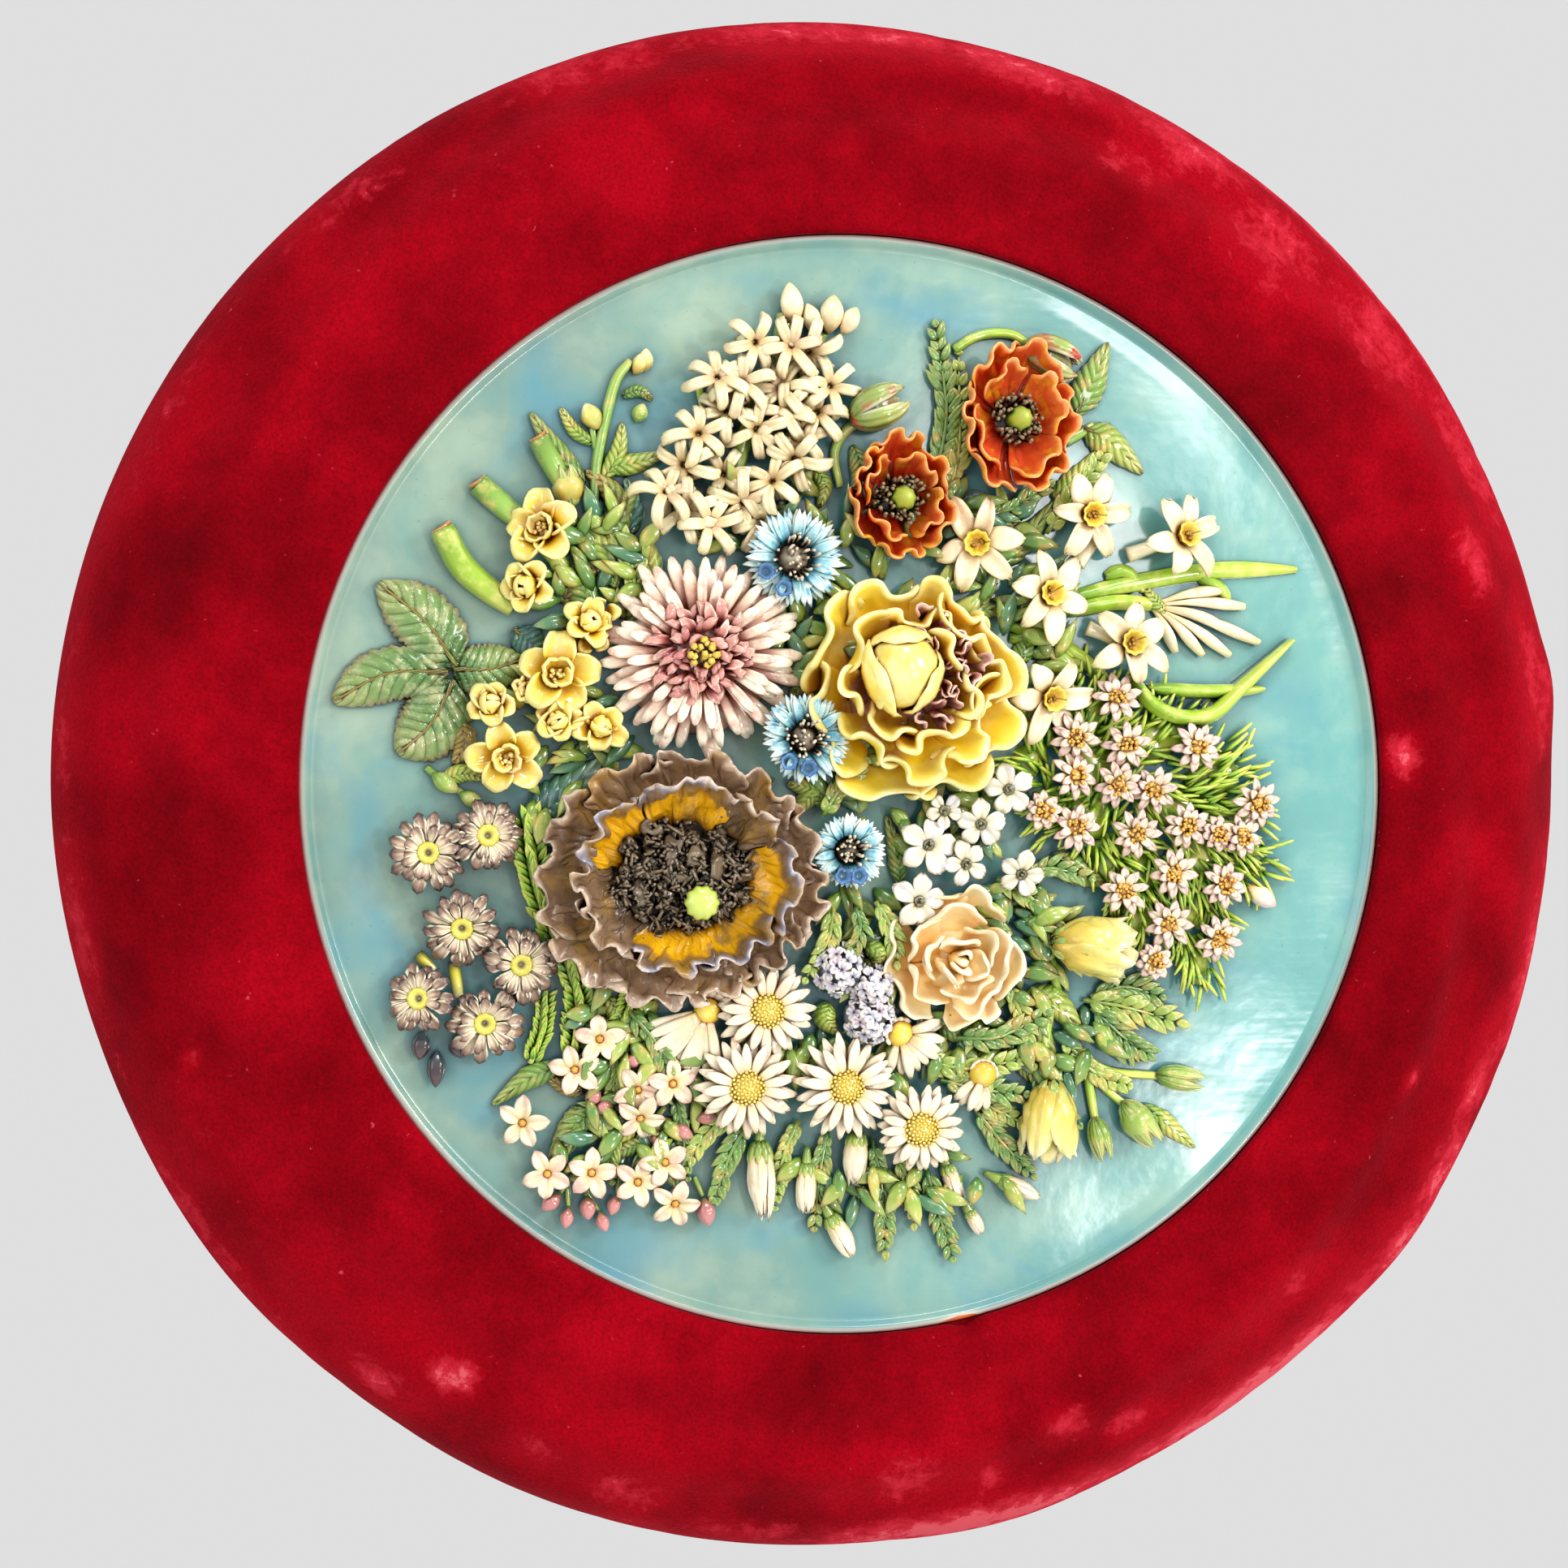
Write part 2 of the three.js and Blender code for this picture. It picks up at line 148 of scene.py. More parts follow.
def petal(length, width, shape, rise, cup=0.0, rounding=0.25, ruffle=0.0, waves=3, crease=0.0, bow=0.0,
          start=0.0, height=0.0, thickness=1.5, across=9, along=12, glaze=0, tint=None):
    """Petal that grows out along x: shape is its half width and rise its slope in degrees, base to tip."""
    steps = np.linspace(0, 1, 40)
    slope = np.radians(flowing(rise, steps))
    reach = np.concatenate([[0], np.cumsum(np.cos(slope[:-1]) + np.cos(slope[1:]))]) * length / 78
    climb = np.concatenate([[0], np.cumsum(np.sin(slope[:-1]) + np.sin(slope[1:]))]) * length / 78
    phase, second = chance.uniform(0, 2 * pi, 2)

    def middle(u, v):
        s = v * (1 - rounding * abs(u) ** 2.4)
        tilt = np.interp(s, steps, slope)
        half = width / 2 * flowing(shape, s)
        bend = flowing(np.atleast_1d(cup) if np.size(cup) > 1 else [cup, cup], s) + 1e-4
        side = half * np.sin(bend * u) / bend
        up = half * (1 - np.cos(bend * u)) / bend
        up = up + ruffle * v**2 * np.sin(waves * pi * u + phase) * (0.5 + 0.5 * abs(u))
        up = up + ruffle * 0.6 * abs(u) ** 3 * v * np.sin(waves * pi * v + second)
        up = up + crease * np.exp(-((u / 0.3) ** 2)) * np.sin(pi * np.clip(v, 0, 0.96))
        x = start + np.interp(s, steps, reach) - np.sin(tilt) * up
        z = height + np.interp(s, steps, climb) + np.cos(tilt) * up
        return np.stack([x, side + bow * length * s**2, z], axis=-1)

    return sheet(middle, thickness, across, along, glaze, tint)


def frill(direction, spread, foot, rim, waves=3.0, fold=3.0, loop=0.5, belly=0.3, rounding=0.36, narrow=0.6,
          pleats=0, pleat=0.5, thickness=2.0, across=41, along=15, glaze=0, tint=None):
    """Broad ruffled petal round a middle: foot and rim are (radius, height), and the rim runs in folds."""
    phase, second, third = chance.uniform(0, 2 * pi, 3)

    def middle(u, v):
        s = v * (1 - rounding * abs(u) ** 3)
        bend = waves * pi * u + phase
        loose = np.clip((s - 0.12) / 0.88, 0, 1) ** 1.5
        reach = foot[0] + (rim[0] - foot[0]) * (s + belly * np.sin(pi * s) * 0.5)
        reach = reach + fold * loose * np.sin(bend)
        reach = reach + 0.2 * fold * loose**2 * np.sin(1.7 * bend + second)
        angle = radians(direction) + radians(spread) * u * (narrow + (1 - narrow) * s)
        angle = angle - loop * fold / rim[0] * loose * np.sin(2 * bend)
        z = foot[1] + (rim[1] - foot[1]) * (s - belly * np.sin(pi * s) * 0.4)
        z = z + 0.45 * fold * loose**2 * np.cos(bend + third)
        if pleats:
            z = z + pleat * s * np.sin(pleats * pi * u + second)
        return np.stack([reach * np.cos(angle), reach * np.sin(angle), z], axis=-1)

    return sheet(middle, thickness, across, along, glaze, tint)


def rod(spine, radii, sides=8, stations=9, flat=1.0, glaze=0, tint=None):
    """Round form along a curve through points, with radii given evenly from its start to its end."""
    sides, stations = max(5, int(sides * LIGHT + 0.5)), max(4, int(stations * LIGHT + 0.5))
    share = np.linspace(0, 1, stations)
    core = flowing(spine, share)
    radius = flowing(radii, share)[:, None, None]
    ahead = np.gradient(core, axis=0)
    ahead /= np.linalg.norm(ahead, axis=1, keepdims=True)
    lying = abs(ahead[:, 2]).mean() < 0.8
    side = np.cross([0, 0, 1] if lying else [1, 0, 0], ahead)
    side /= np.linalg.norm(side, axis=1, keepdims=True)
    over = np.cross(ahead, side)
    turn = np.linspace(0, 2 * pi, sides, endpoint=False)[None, :, None]
    rings = core[:, None] + radius * (np.cos(turn) * side[:, None] + flat * np.sin(turn) * over[:, None])
    along, across = np.meshgrid(share, np.linspace(0, 1, sides), indexing="ij")
    return closed_rings(rings, core[0], core[-1], marks_of(along, across, tint), glaze)


def turned(rows, sides=24, lobes=0, depth=0.0, twist=0.0, glaze=0, tint=None):
    """Turned form from rows of (radius, height) between two poles, with lobes round it."""
    radius, height = np.array(rows[1:-1], float).T
    sides = max(7, int(sides * (1 if lobes else LIGHT) + 0.5))
    turn = np.linspace(0, 2 * pi, sides, endpoint=False)
    share = np.linspace(0, 1, len(radius))[:, None]
    reach = radius[:, None] * (1 + depth * np.cos(lobes * turn[None] + twist * share))
    rings = np.stack([reach * np.cos(turn), reach * np.sin(turn), np.repeat(height[:, None], sides, 1)], axis=-1)
    along, across = np.meshgrid(share[:, 0], np.linspace(0, 1, sides), indexing="ij")
    return closed_rings(rings, (0, 0, rows[0][1]), (0, 0, rows[-1][1]), marks_of(along, across, tint), glaze)


def closed_rings(rings, first, last, marks, glaze):
    """Joins rings of points into one closed form, with a point at each end."""
    rows, sides = rings.shape[:2]
    at = np.arange(rows * sides).reshape(rows, sides)
    after = np.roll(at, -1, axis=1)
    wall = np.stack([at[:-1], after[:-1], after[1:], at[1:]], axis=-1).reshape(-1, 4).tolist()
    start, end = at.size, at.size + 1
    wall += [[start, int(b), int(a)] for a, b in zip(at[0], after[0])]
    wall += [[end, int(a), int(b)] for a, b in zip(at[-1], after[-1])]
    points = np.concatenate([rings.reshape(-1, 3), [first, last]])
    return Form(points, wall, np.concatenate([marks, marks[:1], marks[-1:]]), glaze)


def planted(forms, x, y, turn=0, lean=0, toward=0, lift=0):
    """Sets a flower on the ground of the disc."""
    for form in forms:
        form.spin(turn).lean(lean, toward).move(x, y, GROUND + lift)
    return forms


def fire(name, forms, glazes, node="plaque"):
    """Joins forms into one piece, turns it to the wall and lets it stand for its CAD node."""
    points = np.concatenate([form.points for form in forms]) * MM
    points = np.stack([points[:, 0], -points[:, 2], points[:, 1]], axis=1)
    faces, pick, count = [], [], 0
    for form in forms:
        faces += [[corner + count for corner in face] for face in form.faces]
        pick += [form.glaze] * len(form.faces)
        count += len(form.points)
    mesh = bpy.data.meshes.new(name)
    mesh.from_pydata(points.tolist(), [], faces)
    mesh.polygons.foreach_set("material_index", pick)
    mesh.polygons.foreach_set("use_smooth", [True] * len(faces))
    marks = np.concatenate([form.marks for form in forms])
    store = mesh.attributes.new("marks", "FLOAT_VECTOR", "POINT")
    store.data.foreach_set("vector", marks.astype(np.float32).ravel())
    for glaze in glazes:
        mesh.materials.append(glaze)
    piece = bpy.data.objects.new(name, mesh)
    bpy.context.scene.collection.objects.link(piece)
    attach(piece, "root")
    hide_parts(node)
    return piece


# ---------------------------------------------------------------- glazes and cloth
def colour(text):
    """sRGB hex to the linear colour that the shaders take."""
    shares = [int(text[i:i + 2], 16) / 255 for i in (1, 3, 5)]
    return [s / 12.92 if s <= 0.04045 else ((s + 0.055) / 1.055) ** 2.4 for s in shares] + [1]


def put(tree, kind, inputs=None, stops=None, **settings):
    """Adds one node with its settings; each input is a value or the output that feeds it."""
    made = tree.nodes.new("ShaderNode" + kind)
    for key, value in settings.items():
        setattr(made, key, value)
    for key, value in (inputs or {}).items():
        if isinstance(value, bpy.types.NodeSocket):
            tree.links.new(value, made.inputs[key])
        else:
            made.inputs[key].default_value = value
    for i, (place, tone) in enumerate(stops or []):
        stop = made.color_ramp.elements[i] if i < 2 else made.color_ramp.elements.new(place)
        stop.position, stop.color = place, colour(tone) if isinstance(tone, str) else [tone] * 3 + [1]
    return made


def blended(tree, share, first, second, way="MIX"):
    return put(tree, "Mix", {0: share, 6: first, 7: second}, data_type="RGBA", blend_type=way).outputs[2]


def new_material(name):
    material = bpy.data.materials.new(name)
    material.use_nodes = True
    material.node_tree.nodes.clear()
    return material, material.node_tree


def close_material(tree, shader):
    out = put(tree, "OutputMaterial")
    tree.links.new(shader.outputs[0], out.inputs[0])


def fired_glaze(name, stops, hollow="#3b3120", blush=None, blush_mm=7.0, edge=None, lines=0, line_depth=0.25,
                veins=0, wander=0.3, gloss=0.2, grain=0.12, grain_mm=1.4):
    """Lead glaze over modelled clay: glassy, thin and pale on the edges, darker in hollows and crevices, where ambient
    occlusion paints pooled glaze and shade together.
    """
    material, tree = new_material(name)
    place = put(tree, "TexCoord").outputs["Object"]
    marks = put(tree, "Attribute", attribute_name="marks").outputs["Vector"]
    along, across, tint = put(tree, "SeparateXYZ", {0: marks}).outputs
    brush = put(tree, "TexNoise", {"Vector": place, "Scale": 1000 / 6, "Detail": 3}).outputs["Fac"]
    drift = put(tree, "Math", {0: brush, 1: wander, 2: -wander / 2}, operation="MULTIPLY_ADD").outputs[0]
    run = put(tree, "Math", {0: along, 1: drift}, operation="ADD").outputs[0]
    tone = put(tree, "ValToRGB", {0: run}, stops=stops).outputs[0]
    if blush:
        dab = put(tree, "TexNoise", {"Vector": place, "Scale": 1000 / blush_mm, "Detail": 4, "Roughness": 0.6})
        share = put(tree, "ValToRGB", {0: dab.outputs["Fac"]}, stops=[(0.5, 0), (0.68, 1)]).outputs[0]
        tone = blended(tree, share, tone, colour(blush))
    if edge:
        share = put(tree, "ValToRGB", {0: across}, stops=[(0.0, 1), (0.14, 0), (0.86, 0), (1.0, 1)]).outputs[0]
        tone = blended(tree, share, tone, colour(edge))
    shade = put(tree, "MapRange", {0: tint, 3: 0.9, 4: 1.12}).outputs[0]
    tone = put(tree, "HueSaturation", {"Value": shade, "Color": tone}).outputs[0]
    # Painted shade and pooled glaze: ambient occlusion multiplies the hollow colour into hollows and #a08458 into
    # narrow crevices.
    for reach, shut, clear, deep in ((0.008, 0.12, 0.72, hollow), (0.0022, 0.16, 0.66, "#a08458")):
        open_air = put(tree, "AmbientOcclusion", {"Distance": reach}, samples=6).outputs["AO"]
        pooled_glaze_and_shade = put(tree, "ValToRGB", {0: open_air}, stops=[(shut, 1), (clear, 0)]).outputs[0]
        tone = blended(tree, pooled_glaze_and_shade, tone, colour(deep), "MULTIPLY")
    skin = put(tree, "TexNoise", {"Vector": place, "Scale": 1000 / grain_mm, "Detail": 2}).outputs["Fac"]
    relief = put(tree, "Math", {0: skin, 1: grain}, operation="MULTIPLY").outputs[0]
    if lines:
        fan = put(tree, "Math", {0: across, 1: lines * 2 * pi, 2: 0}, operation="MULTIPLY_ADD").outputs[0]
        fan = put(tree, "Math", {0: brush, 1: 3, 2: fan}, operation="MULTIPLY_ADD").outputs[0]
        ridge = put(tree, "Math", {0: fan}, operation="SINE").outputs[0]
        relief = put(tree, "Math", {0: ridge, 1: line_depth, 2: relief}, operation="MULTIPLY_ADD").outputs[0]
    if veins:
        off = put(tree, "Math", {0: across, 1: -0.5}, operation="ADD").outputs[0]
        off = put(tree, "Math", {0: off}, operation="ABSOLUTE").outputs[0]
        off = put(tree, "Math", {0: off, 1: -0.44, 2: along}, operation="MULTIPLY_ADD").outputs[0]
        off = put(tree, "Math", {0: off, 1: veins * pi}, operation="MULTIPLY").outputs[0]
        off = put(tree, "Math", {0: off}, operation="SINE").outputs[0]
        off = put(tree, "Math", {0: off}, operation="ABSOLUTE").outputs[0]
        share = put(tree, "ValToRGB", {0: off}, stops=[(0.0, 0.6), (0.3, 0)]).outputs[0]
        tone = blended(tree, share, tone, colour(hollow), "SOFT_LIGHT")
        relief = put(tree, "Math", {0: off, 1: 1.4, 2: relief}, operation="MULTIPLY_ADD").outputs[0]
    bump = put(tree, "Bump", {"Strength": 1.0, "Distance": 0.0005, "Height": relief}).outputs[0]
    shader = put(tree, "BsdfPrincipled", {"Base Color": tone, "Normal": bump, "Roughness": gloss, "IOR": 1.54,
                                          "Coat Weight": 0.6, "Coat Roughness": 0.06})
    close_material(tree, shader)
    return material


def ground_glaze():
    """Turquoise tin glaze brushed over the disc: clouded, crazed, with dark teal painted round the flowers by ambient
    occlusion as pooled glaze and painted shade.
    """
    material, tree = new_material("turquoise_tin_glaze")
    place = put(tree, "TexCoord").outputs["Object"]
    marks = put(tree, "Attribute", attribute_name="marks").outputs["Vector"]
    right, height, reach = put(tree, "SeparateXYZ", {0: marks}).outputs
    cloud = put(tree, "TexNoise", {"Vector": place, "Scale": 1000 / 95, "Detail": 4, "Roughness": 0.55})
    tone = put(tree, "ValToRGB", {0: cloud.outputs["Fac"]},
               stops=[(0.3, "#648986"), (0.44, "#7d998d"), (0.56, "#94ac98"), (0.72, "#acc0a8")]).outputs[0]
    side = put(tree, "MapRange", {0: right, 1: 0.3, 2: 0.95, 3: 0.0, 4: 0.75}).outputs[0]
    tone = blended(tree, side, tone, colour("#66b2ae"))
    wash = put(tree, "TexNoise", {"Vector": place, "Scale": 1000 / 30, "Detail": 5, "Roughness": 0.55, "Distortion": 0.2})
    share = put(tree, "ValToRGB", {0: wash.outputs["Fac"]}, stops=[(0.36, 0.5), (0.58, 0)]).outputs[0]
    tone = blended(tree, share, tone, colour("#5f9c9a"))
    share = put(tree, "ValToRGB", {0: wash.outputs["Fac"]}, stops=[(0.5, 0), (0.74, 0.5)]).outputs[0]
    tone = blended(tree, share, tone, colour("#a4c0ac"))
    blue = put(tree, "TexNoise", {"Vector": place, "Scale": 1000 / 52, "Detail": 3, "Distortion": 0.6})
    share = put(tree, "ValToRGB", {0: blue.outputs["Fac"]}, stops=[(0.53, 0), (0.74, 0.7)]).outputs[0]
    tone = blended(tree, share, tone, colour("#4f93ab"))
    speck = put(tree, "TexNoise", {"Vector": place, "Scale": 1000 / 2.2, "Detail": 3, "Roughness": 0.7})
    share = put(tree, "ValToRGB", {0: speck.outputs["Fac"]}, stops=[(0.66, 0), (0.74, 0.55)]).outputs[0]
    tone = blended(tree, share, tone, colour("#4f8d93"))
    # Painted shade: dark teal mixed in by ambient occlusion where the flowers stand, for pooled glaze and the shade
    # next to them.
    open_air = put(tree, "AmbientOcclusion", {"Distance": 0.016}, samples=8).outputs["AO"]
    pooled_glaze_and_shade = put(tree, "ValToRGB", {0: open_air}, stops=[(0.15, 1), (0.85, 0)]).outputs[0]
    tone = blended(tree, pooled_glaze_and_shade, tone, colour("#1f5f6c"))
    rim = put(tree, "MapRange", {0: reach, 1: 0.988, 2: 0.994, 4: 0.8}).outputs[0]
    tone = blended(tree, rim, tone, colour("#dccabc"))
    bare = put(tree, "MapRange", {0: reach, 1: 0.9985, 2: 0.9998}).outputs[0]
    tone = blended(tree, bare, tone, colour("#cc6a38"))
    wave = put(tree, "TexNoise", {"Vector": place, "Scale": 1000 / 14, "Detail": 2}).outputs["Fac"]
    skin = put(tree, "TexNoise", {"Vector": place, "Scale": 1000 / 1.6, "Detail": 2}).outputs["Fac"]
    relief = put(tree, "Math", {0: skin, 1: 0.07, 2: wave}, operation="MULTIPLY_ADD").outputs[0]
    slanted = put(tree, "Mapping", {"Vector": place, "Rotation": (0, radians(-38), 0), "Scale": (0.1, 1, 1)}).outputs[0]
    comb = put(tree, "TexNoise", {"Vector": slanted, "Scale": 1000 / 3.0, "Detail": 1}).outputs["Fac"]
    near_rim = put(tree, "MapRange", {0: reach, 1: 0.8, 2: 0.97, 3: 0.0, 4: 0.22}).outputs[0]
    relief = put(tree, "Math", {0: comb, 1: near_rim, 2: relief}, operation="MULTIPLY_ADD").outputs[0]
    bump = put(tree, "Bump", {"Strength": 0.42, "Distance": 0.0006, "Height": relief}).outputs[0]
    shader = put(tree, "BsdfPrincipled", {"Base Color": tone, "Normal": bump, "Roughness": 0.2, "IOR": 1.54,
                                          "Coat Weight": 0.4, "Coat Roughness": 0.12})
    close_material(tree, shader)
    return material


def crimson_velvet():
    """Cotton velvet with a 2 mm cut pile: dark along the pile, pale where it was crushed and rubbed, with painted sheen
    in pale pink along the outer edge and over broad brighter patches.
    """
    material, tree = new_material("crimson_cotton_velvet")
    place = put(tree, "TexCoord").outputs["Object"]
    marks = put(tree, "Attribute", attribute_name="marks").outputs["Vector"]
    outward, crush_and_painted_sheen, turn = put(tree, "SeparateXYZ", {0: marks}).outputs
    cloud = put(tree, "TexNoise", {"Vector": place, "Scale": 1000 / 60, "Detail": 4, "Roughness": 0.6})
    # Crushed pile and painted sheen: the mark from the ring lifts the tone, so crushed patches, the outer edge and
    # broad patches are painted lighter.
    pick = put(tree, "Math", {0: crush_and_painted_sheen, 1: 0.4, 2: cloud.outputs["Fac"]}, operation="MULTIPLY_ADD").outputs[0]
    tone = put(tree, "ValToRGB", {0: pick},
               stops=[(0.3, "#5c0006"), (0.5, "#7e000c"), (0.7, "#9c0214")]).outputs[0]
    pile = put(tree, "TexNoise", {"Vector": place, "Scale": 1000 / 1.3, "Detail": 3, "Roughness": 0.7})
    grain = put(tree, "MapRange", {0: pile.outputs["Fac"], 1: 0.3, 2: 0.7, 3: 0.72, 4: 1.28}).outputs[0]
    tone = put(tree, "HueSaturation", {"Value": grain, "Color": tone}).outputs[0]
    mottle = put(tree, "TexNoise", {"Vector": place, "Scale": 1000 / 11, "Detail": 8, "Roughness": 0.8,
                                    "Distortion": 0.3})
    # Pink patches: crushed pile, and painted sheen and painted highlights where the mark lies near the outer edge.
    lift = put(tree, "Math", {0: crush_and_painted_sheen, 1: 0.5, 2: mottle.outputs["Fac"]}, operation="MULTIPLY_ADD").outputs[0]
    share = put(tree, "ValToRGB", {0: lift}, stops=[(0.74, 0), (0.94, 0.8)]).outputs[0]
    tone = blended(tree, share, tone, colour("#cc2a3c"))
    share = put(tree, "ValToRGB", {0: lift}, stops=[(0.94, 0), (1.0, 0.5)]).outputs[0]
    tone = blended(tree, share, tone, colour("#e8707a"))
    lint = put(tree, "TexNoise", {"Vector": place, "Scale": 1000 / 2.6, "Detail": 2, "Distortion": 0.5}).outputs["Fac"]
    lint = put(tree, "Math", {0: mottle.outputs["Fac"], 1: 0.35, 2: lint}, operation="MULTIPLY_ADD").outputs[0]
    share = put(tree, "ValToRGB", {0: lint}, stops=[(0.93, 0), (0.99, 0.6)]).outputs[0]
    tone = blended(tree, share, tone, colour("#d85060"))
    nap = put(tree, "Math", {0: pile.outputs["Fac"], 1: 1.0, 2: mottle.outputs["Fac"]},
              operation="MULTIPLY_ADD").outputs[0]
    bump = put(tree, "Bump", {"Strength": 0.8, "Distance": 0.0007, "Height": nap}).outputs[0]
    shader = put(tree, "BsdfPrincipled", {"Base Color": tone, "Normal": bump, "Roughness": 0.9, "IOR": 1.5,
                                          "Specular IOR Level": 0.04, "Sheen Weight": 0.44, "Sheen Roughness": 0.3,
                                          "Sheen Tint": colour("#e03c54")})
    close_material(tree, shader)
    return material


def bare_wood():
    """Sanded softwood board, darkened with age: straight grain 3 to 4 mm wide, matt."""
    material, tree = new_material("bare_pine_board")
    place = put(tree, "TexCoord").outputs["Object"]
    grain_place = put(tree, "Mapping", {"Vector": place, "Scale": (1, 1, 0.06)}).outputs[0]
    grain = put(tree, "TexNoise", {"Vector": grain_place, "Scale": 1000 / 7, "Detail": 5, "Distortion": 0.4})
    tone = put(tree, "ValToRGB", {0: grain.outputs["Fac"]},
               stops=[(0.3, "#5f4226"), (0.5, "#866240"), (0.7, "#a27f55")]).outputs[0]
    bump = put(tree, "Bump", {"Strength": 0.4, "Distance": 0.0004, "Height": grain.outputs["Fac"]}).outputs[0]
    shader = put(tree, "BsdfPrincipled", {"Base Color": tone, "Normal": bump, "Roughness": 0.68, "IOR": 1.5})
    close_material(tree, shader)
    return material


# ---------------------------------------------------------------- parts that many flowers share
BROAD = [0.35, 0.8, 1.0, 1.0, 0.9]
OVAL = [0.45, 0.9, 1.0, 0.8, 0.3]
SPOON = [0.3, 0.62, 0.95, 1.0, 0.75]
LEAF = [0.12, 0.75, 1.0, 0.85, 0.5, 0.06]


def jitter(amount):
    return chance.uniform(-amount, amount)


def tier(count, length, width, shape, rise, turn=0, loose=5, wild=0.07, **how):
    """One rank of petals round the middle, each a little different."""
    forms = []
    for i in range(count):
        slopes = [slope + jitter(loose) for slope in rise]
        one = petal(length * (1 + jitter(wild)), width * (1 + jitter(wild)), shape, slopes, **how)
        forms.append(one.spin(turn + i * 360 / count + jitter(loose)))
    return forms


def dome(radius, height, foot=0.0, lobes=0, depth=0.0, sides=20, glaze=0):
    """Low rounded boss, closed below."""
    rows = [(0, foot), (radius, foot)]
    rows += [(radius * cos(a), foot + height * sin(a)) for a in np.radians([12, 30, 50, 70, 82])]
    return turned(rows + [(0, foot + height)], sides, lobes, depth, glaze=glaze)


def ovoid(length, width, lobes=0, depth=0.0, blunt=0.5, sides=18, twist=0.0, glaze=0):
    """Egg that stands on its end; blunt tells how full its tip is."""
    share = np.linspace(0.06, 0.94, 9)
    full = np.sin(pi * share ** (0.75 + 0.5 * (1 - blunt))) ** 0.75
    rows = [(0, 0)] + [(width / 2 * f, length * s) for f, s in zip(full, share)] + [(0, length)]
    return turned(rows, sides, lobes, depth, twist, glaze=glaze)


def tuft(count, radius, low, high, thick, spread=1.0, knob=1.6, glaze=0):
    """Stamens or grains that stand up from a round patch."""
    forms = []
    for _ in range(count):
        reach = radius * chance.uniform() ** 0.5
        angle = chance.uniform(0, 2 * pi)
        foot = np.array([reach * cos(angle), reach * sin(angle), low])
        tip = foot + [reach * 0.35 * spread * cos(angle) + jitter(0.6), reach * 0.35 * spread * sin(angle)
                      + jitter(0.6), chance.uniform(0.55, 1) * (high - low)]
        middle = (foot + tip) / 2 + [jitter(0.7), jitter(0.7), 0]
        forms.append(rod([foot, middle, tip], [thick, thick, thick * knob], 5, 4, glaze=glaze))
    return forms


def leaf(spine, width, shape=LEAF, rise=4.0, teeth=0, veins=7, quilt=0.5, rib=0.7, edge=0.4, thickness=2.0,
         across=13, along=30, glaze=0):
    """Leaf that lies on the ground along its spine: sunk midrib, quilting between the veins, saw edge."""
    spine = np.asarray(spine, float)
    waves = chance.uniform(0, 6)

    def middle(u, v):
        ahead = flowing(spine, np.minimum(v + 0.02, 1)) - flowing(spine, np.maximum(v - 0.02, 0))
        ahead /= np.linalg.norm(ahead, axis=-1, keepdims=True)
        saw = (v * teeth - 0.5 * abs(u)) % 1 - 0.5
        half = width / 2 * flowing(shape, v) * (1 + 0.2 * saw * abs(u) ** 3 * (teeth > 0))
        flat = flowing(spine, v)
        x = flat[..., 0] - ahead[..., 1] * half * u
        y = flat[..., 1] + ahead[..., 0] * half * u
        body = rise * flowing([0.45, 0.95, 1, 0.9, 0.7, 0.35], v)
        pillow = quilt * abs(np.sin(pi * veins * (v - 0.22 * abs(u)))) ** 0.7 * (1 - abs(u) ** 4)
        z = edge + body * (1 - 0.75 * u**2) + pillow - rib * np.exp(-((u / 0.1) ** 2))
        z = z + 0.06 * rise * np.sin(5 * v + waves) * u
        return np.stack([x, y, z], axis=-1)

    return sheet(middle, thickness, across, along, glaze).move(z=GROUND)


def fern(spine, width, pairs=9, rise=3.0, glaze=0, droop=12, open_at=42, lobe=0.46, foot=0.0):
    """Feathered leaf: a midrib with pairs of small lobes that get shorter towards both ends."""
    spine = np.asarray(spine, float)
    length = np.linalg.norm(np.diff(spine, axis=0), axis=1).sum()
    forms = [rod([(x, y, GROUND + foot + rise * (0.8, 1, 0.5)[min(i, 2)]) for i, (x, y) in enumerate(spine)],
                 [1.1, 0.9, 0.5], 6, 12, glaze=glaze)]
    for i in range(pairs + 1):
        at = 0.08 + 0.92 * i / pairs
        here, ahead = flowing(spine, np.array([at, min(1, at + 0.03)]))
        back = flowing(spine, np.array([at - 0.03]))[0]
        way = np.degrees(np.arctan2(*(ahead - back)[::-1]))
        reach = width * 0.88 * (0.35 + 0.65 * np.sin(pi * min(1, 0.2 + 0.75 * at))) * (1 + jitter(0.18))
        for side in ((-1, 1) if i < pairs else (0,)):
            form = petal(reach * (1 + jitter(0.2)), max(length / pairs * lobe * 1.75, 2.2), LEAF,
                         [droop + 14 + jitter(16), 0, -droop - 8], cup=0.3, crease=-0.5, bow=-0.2 * side, thickness=1.3,
                         across=5, along=8, glaze=glaze)
            forms.append(form.spin(way + side * (open_at + jitter(7))).move(*here, GROUND + foot + rise * 0.75))
    return forms


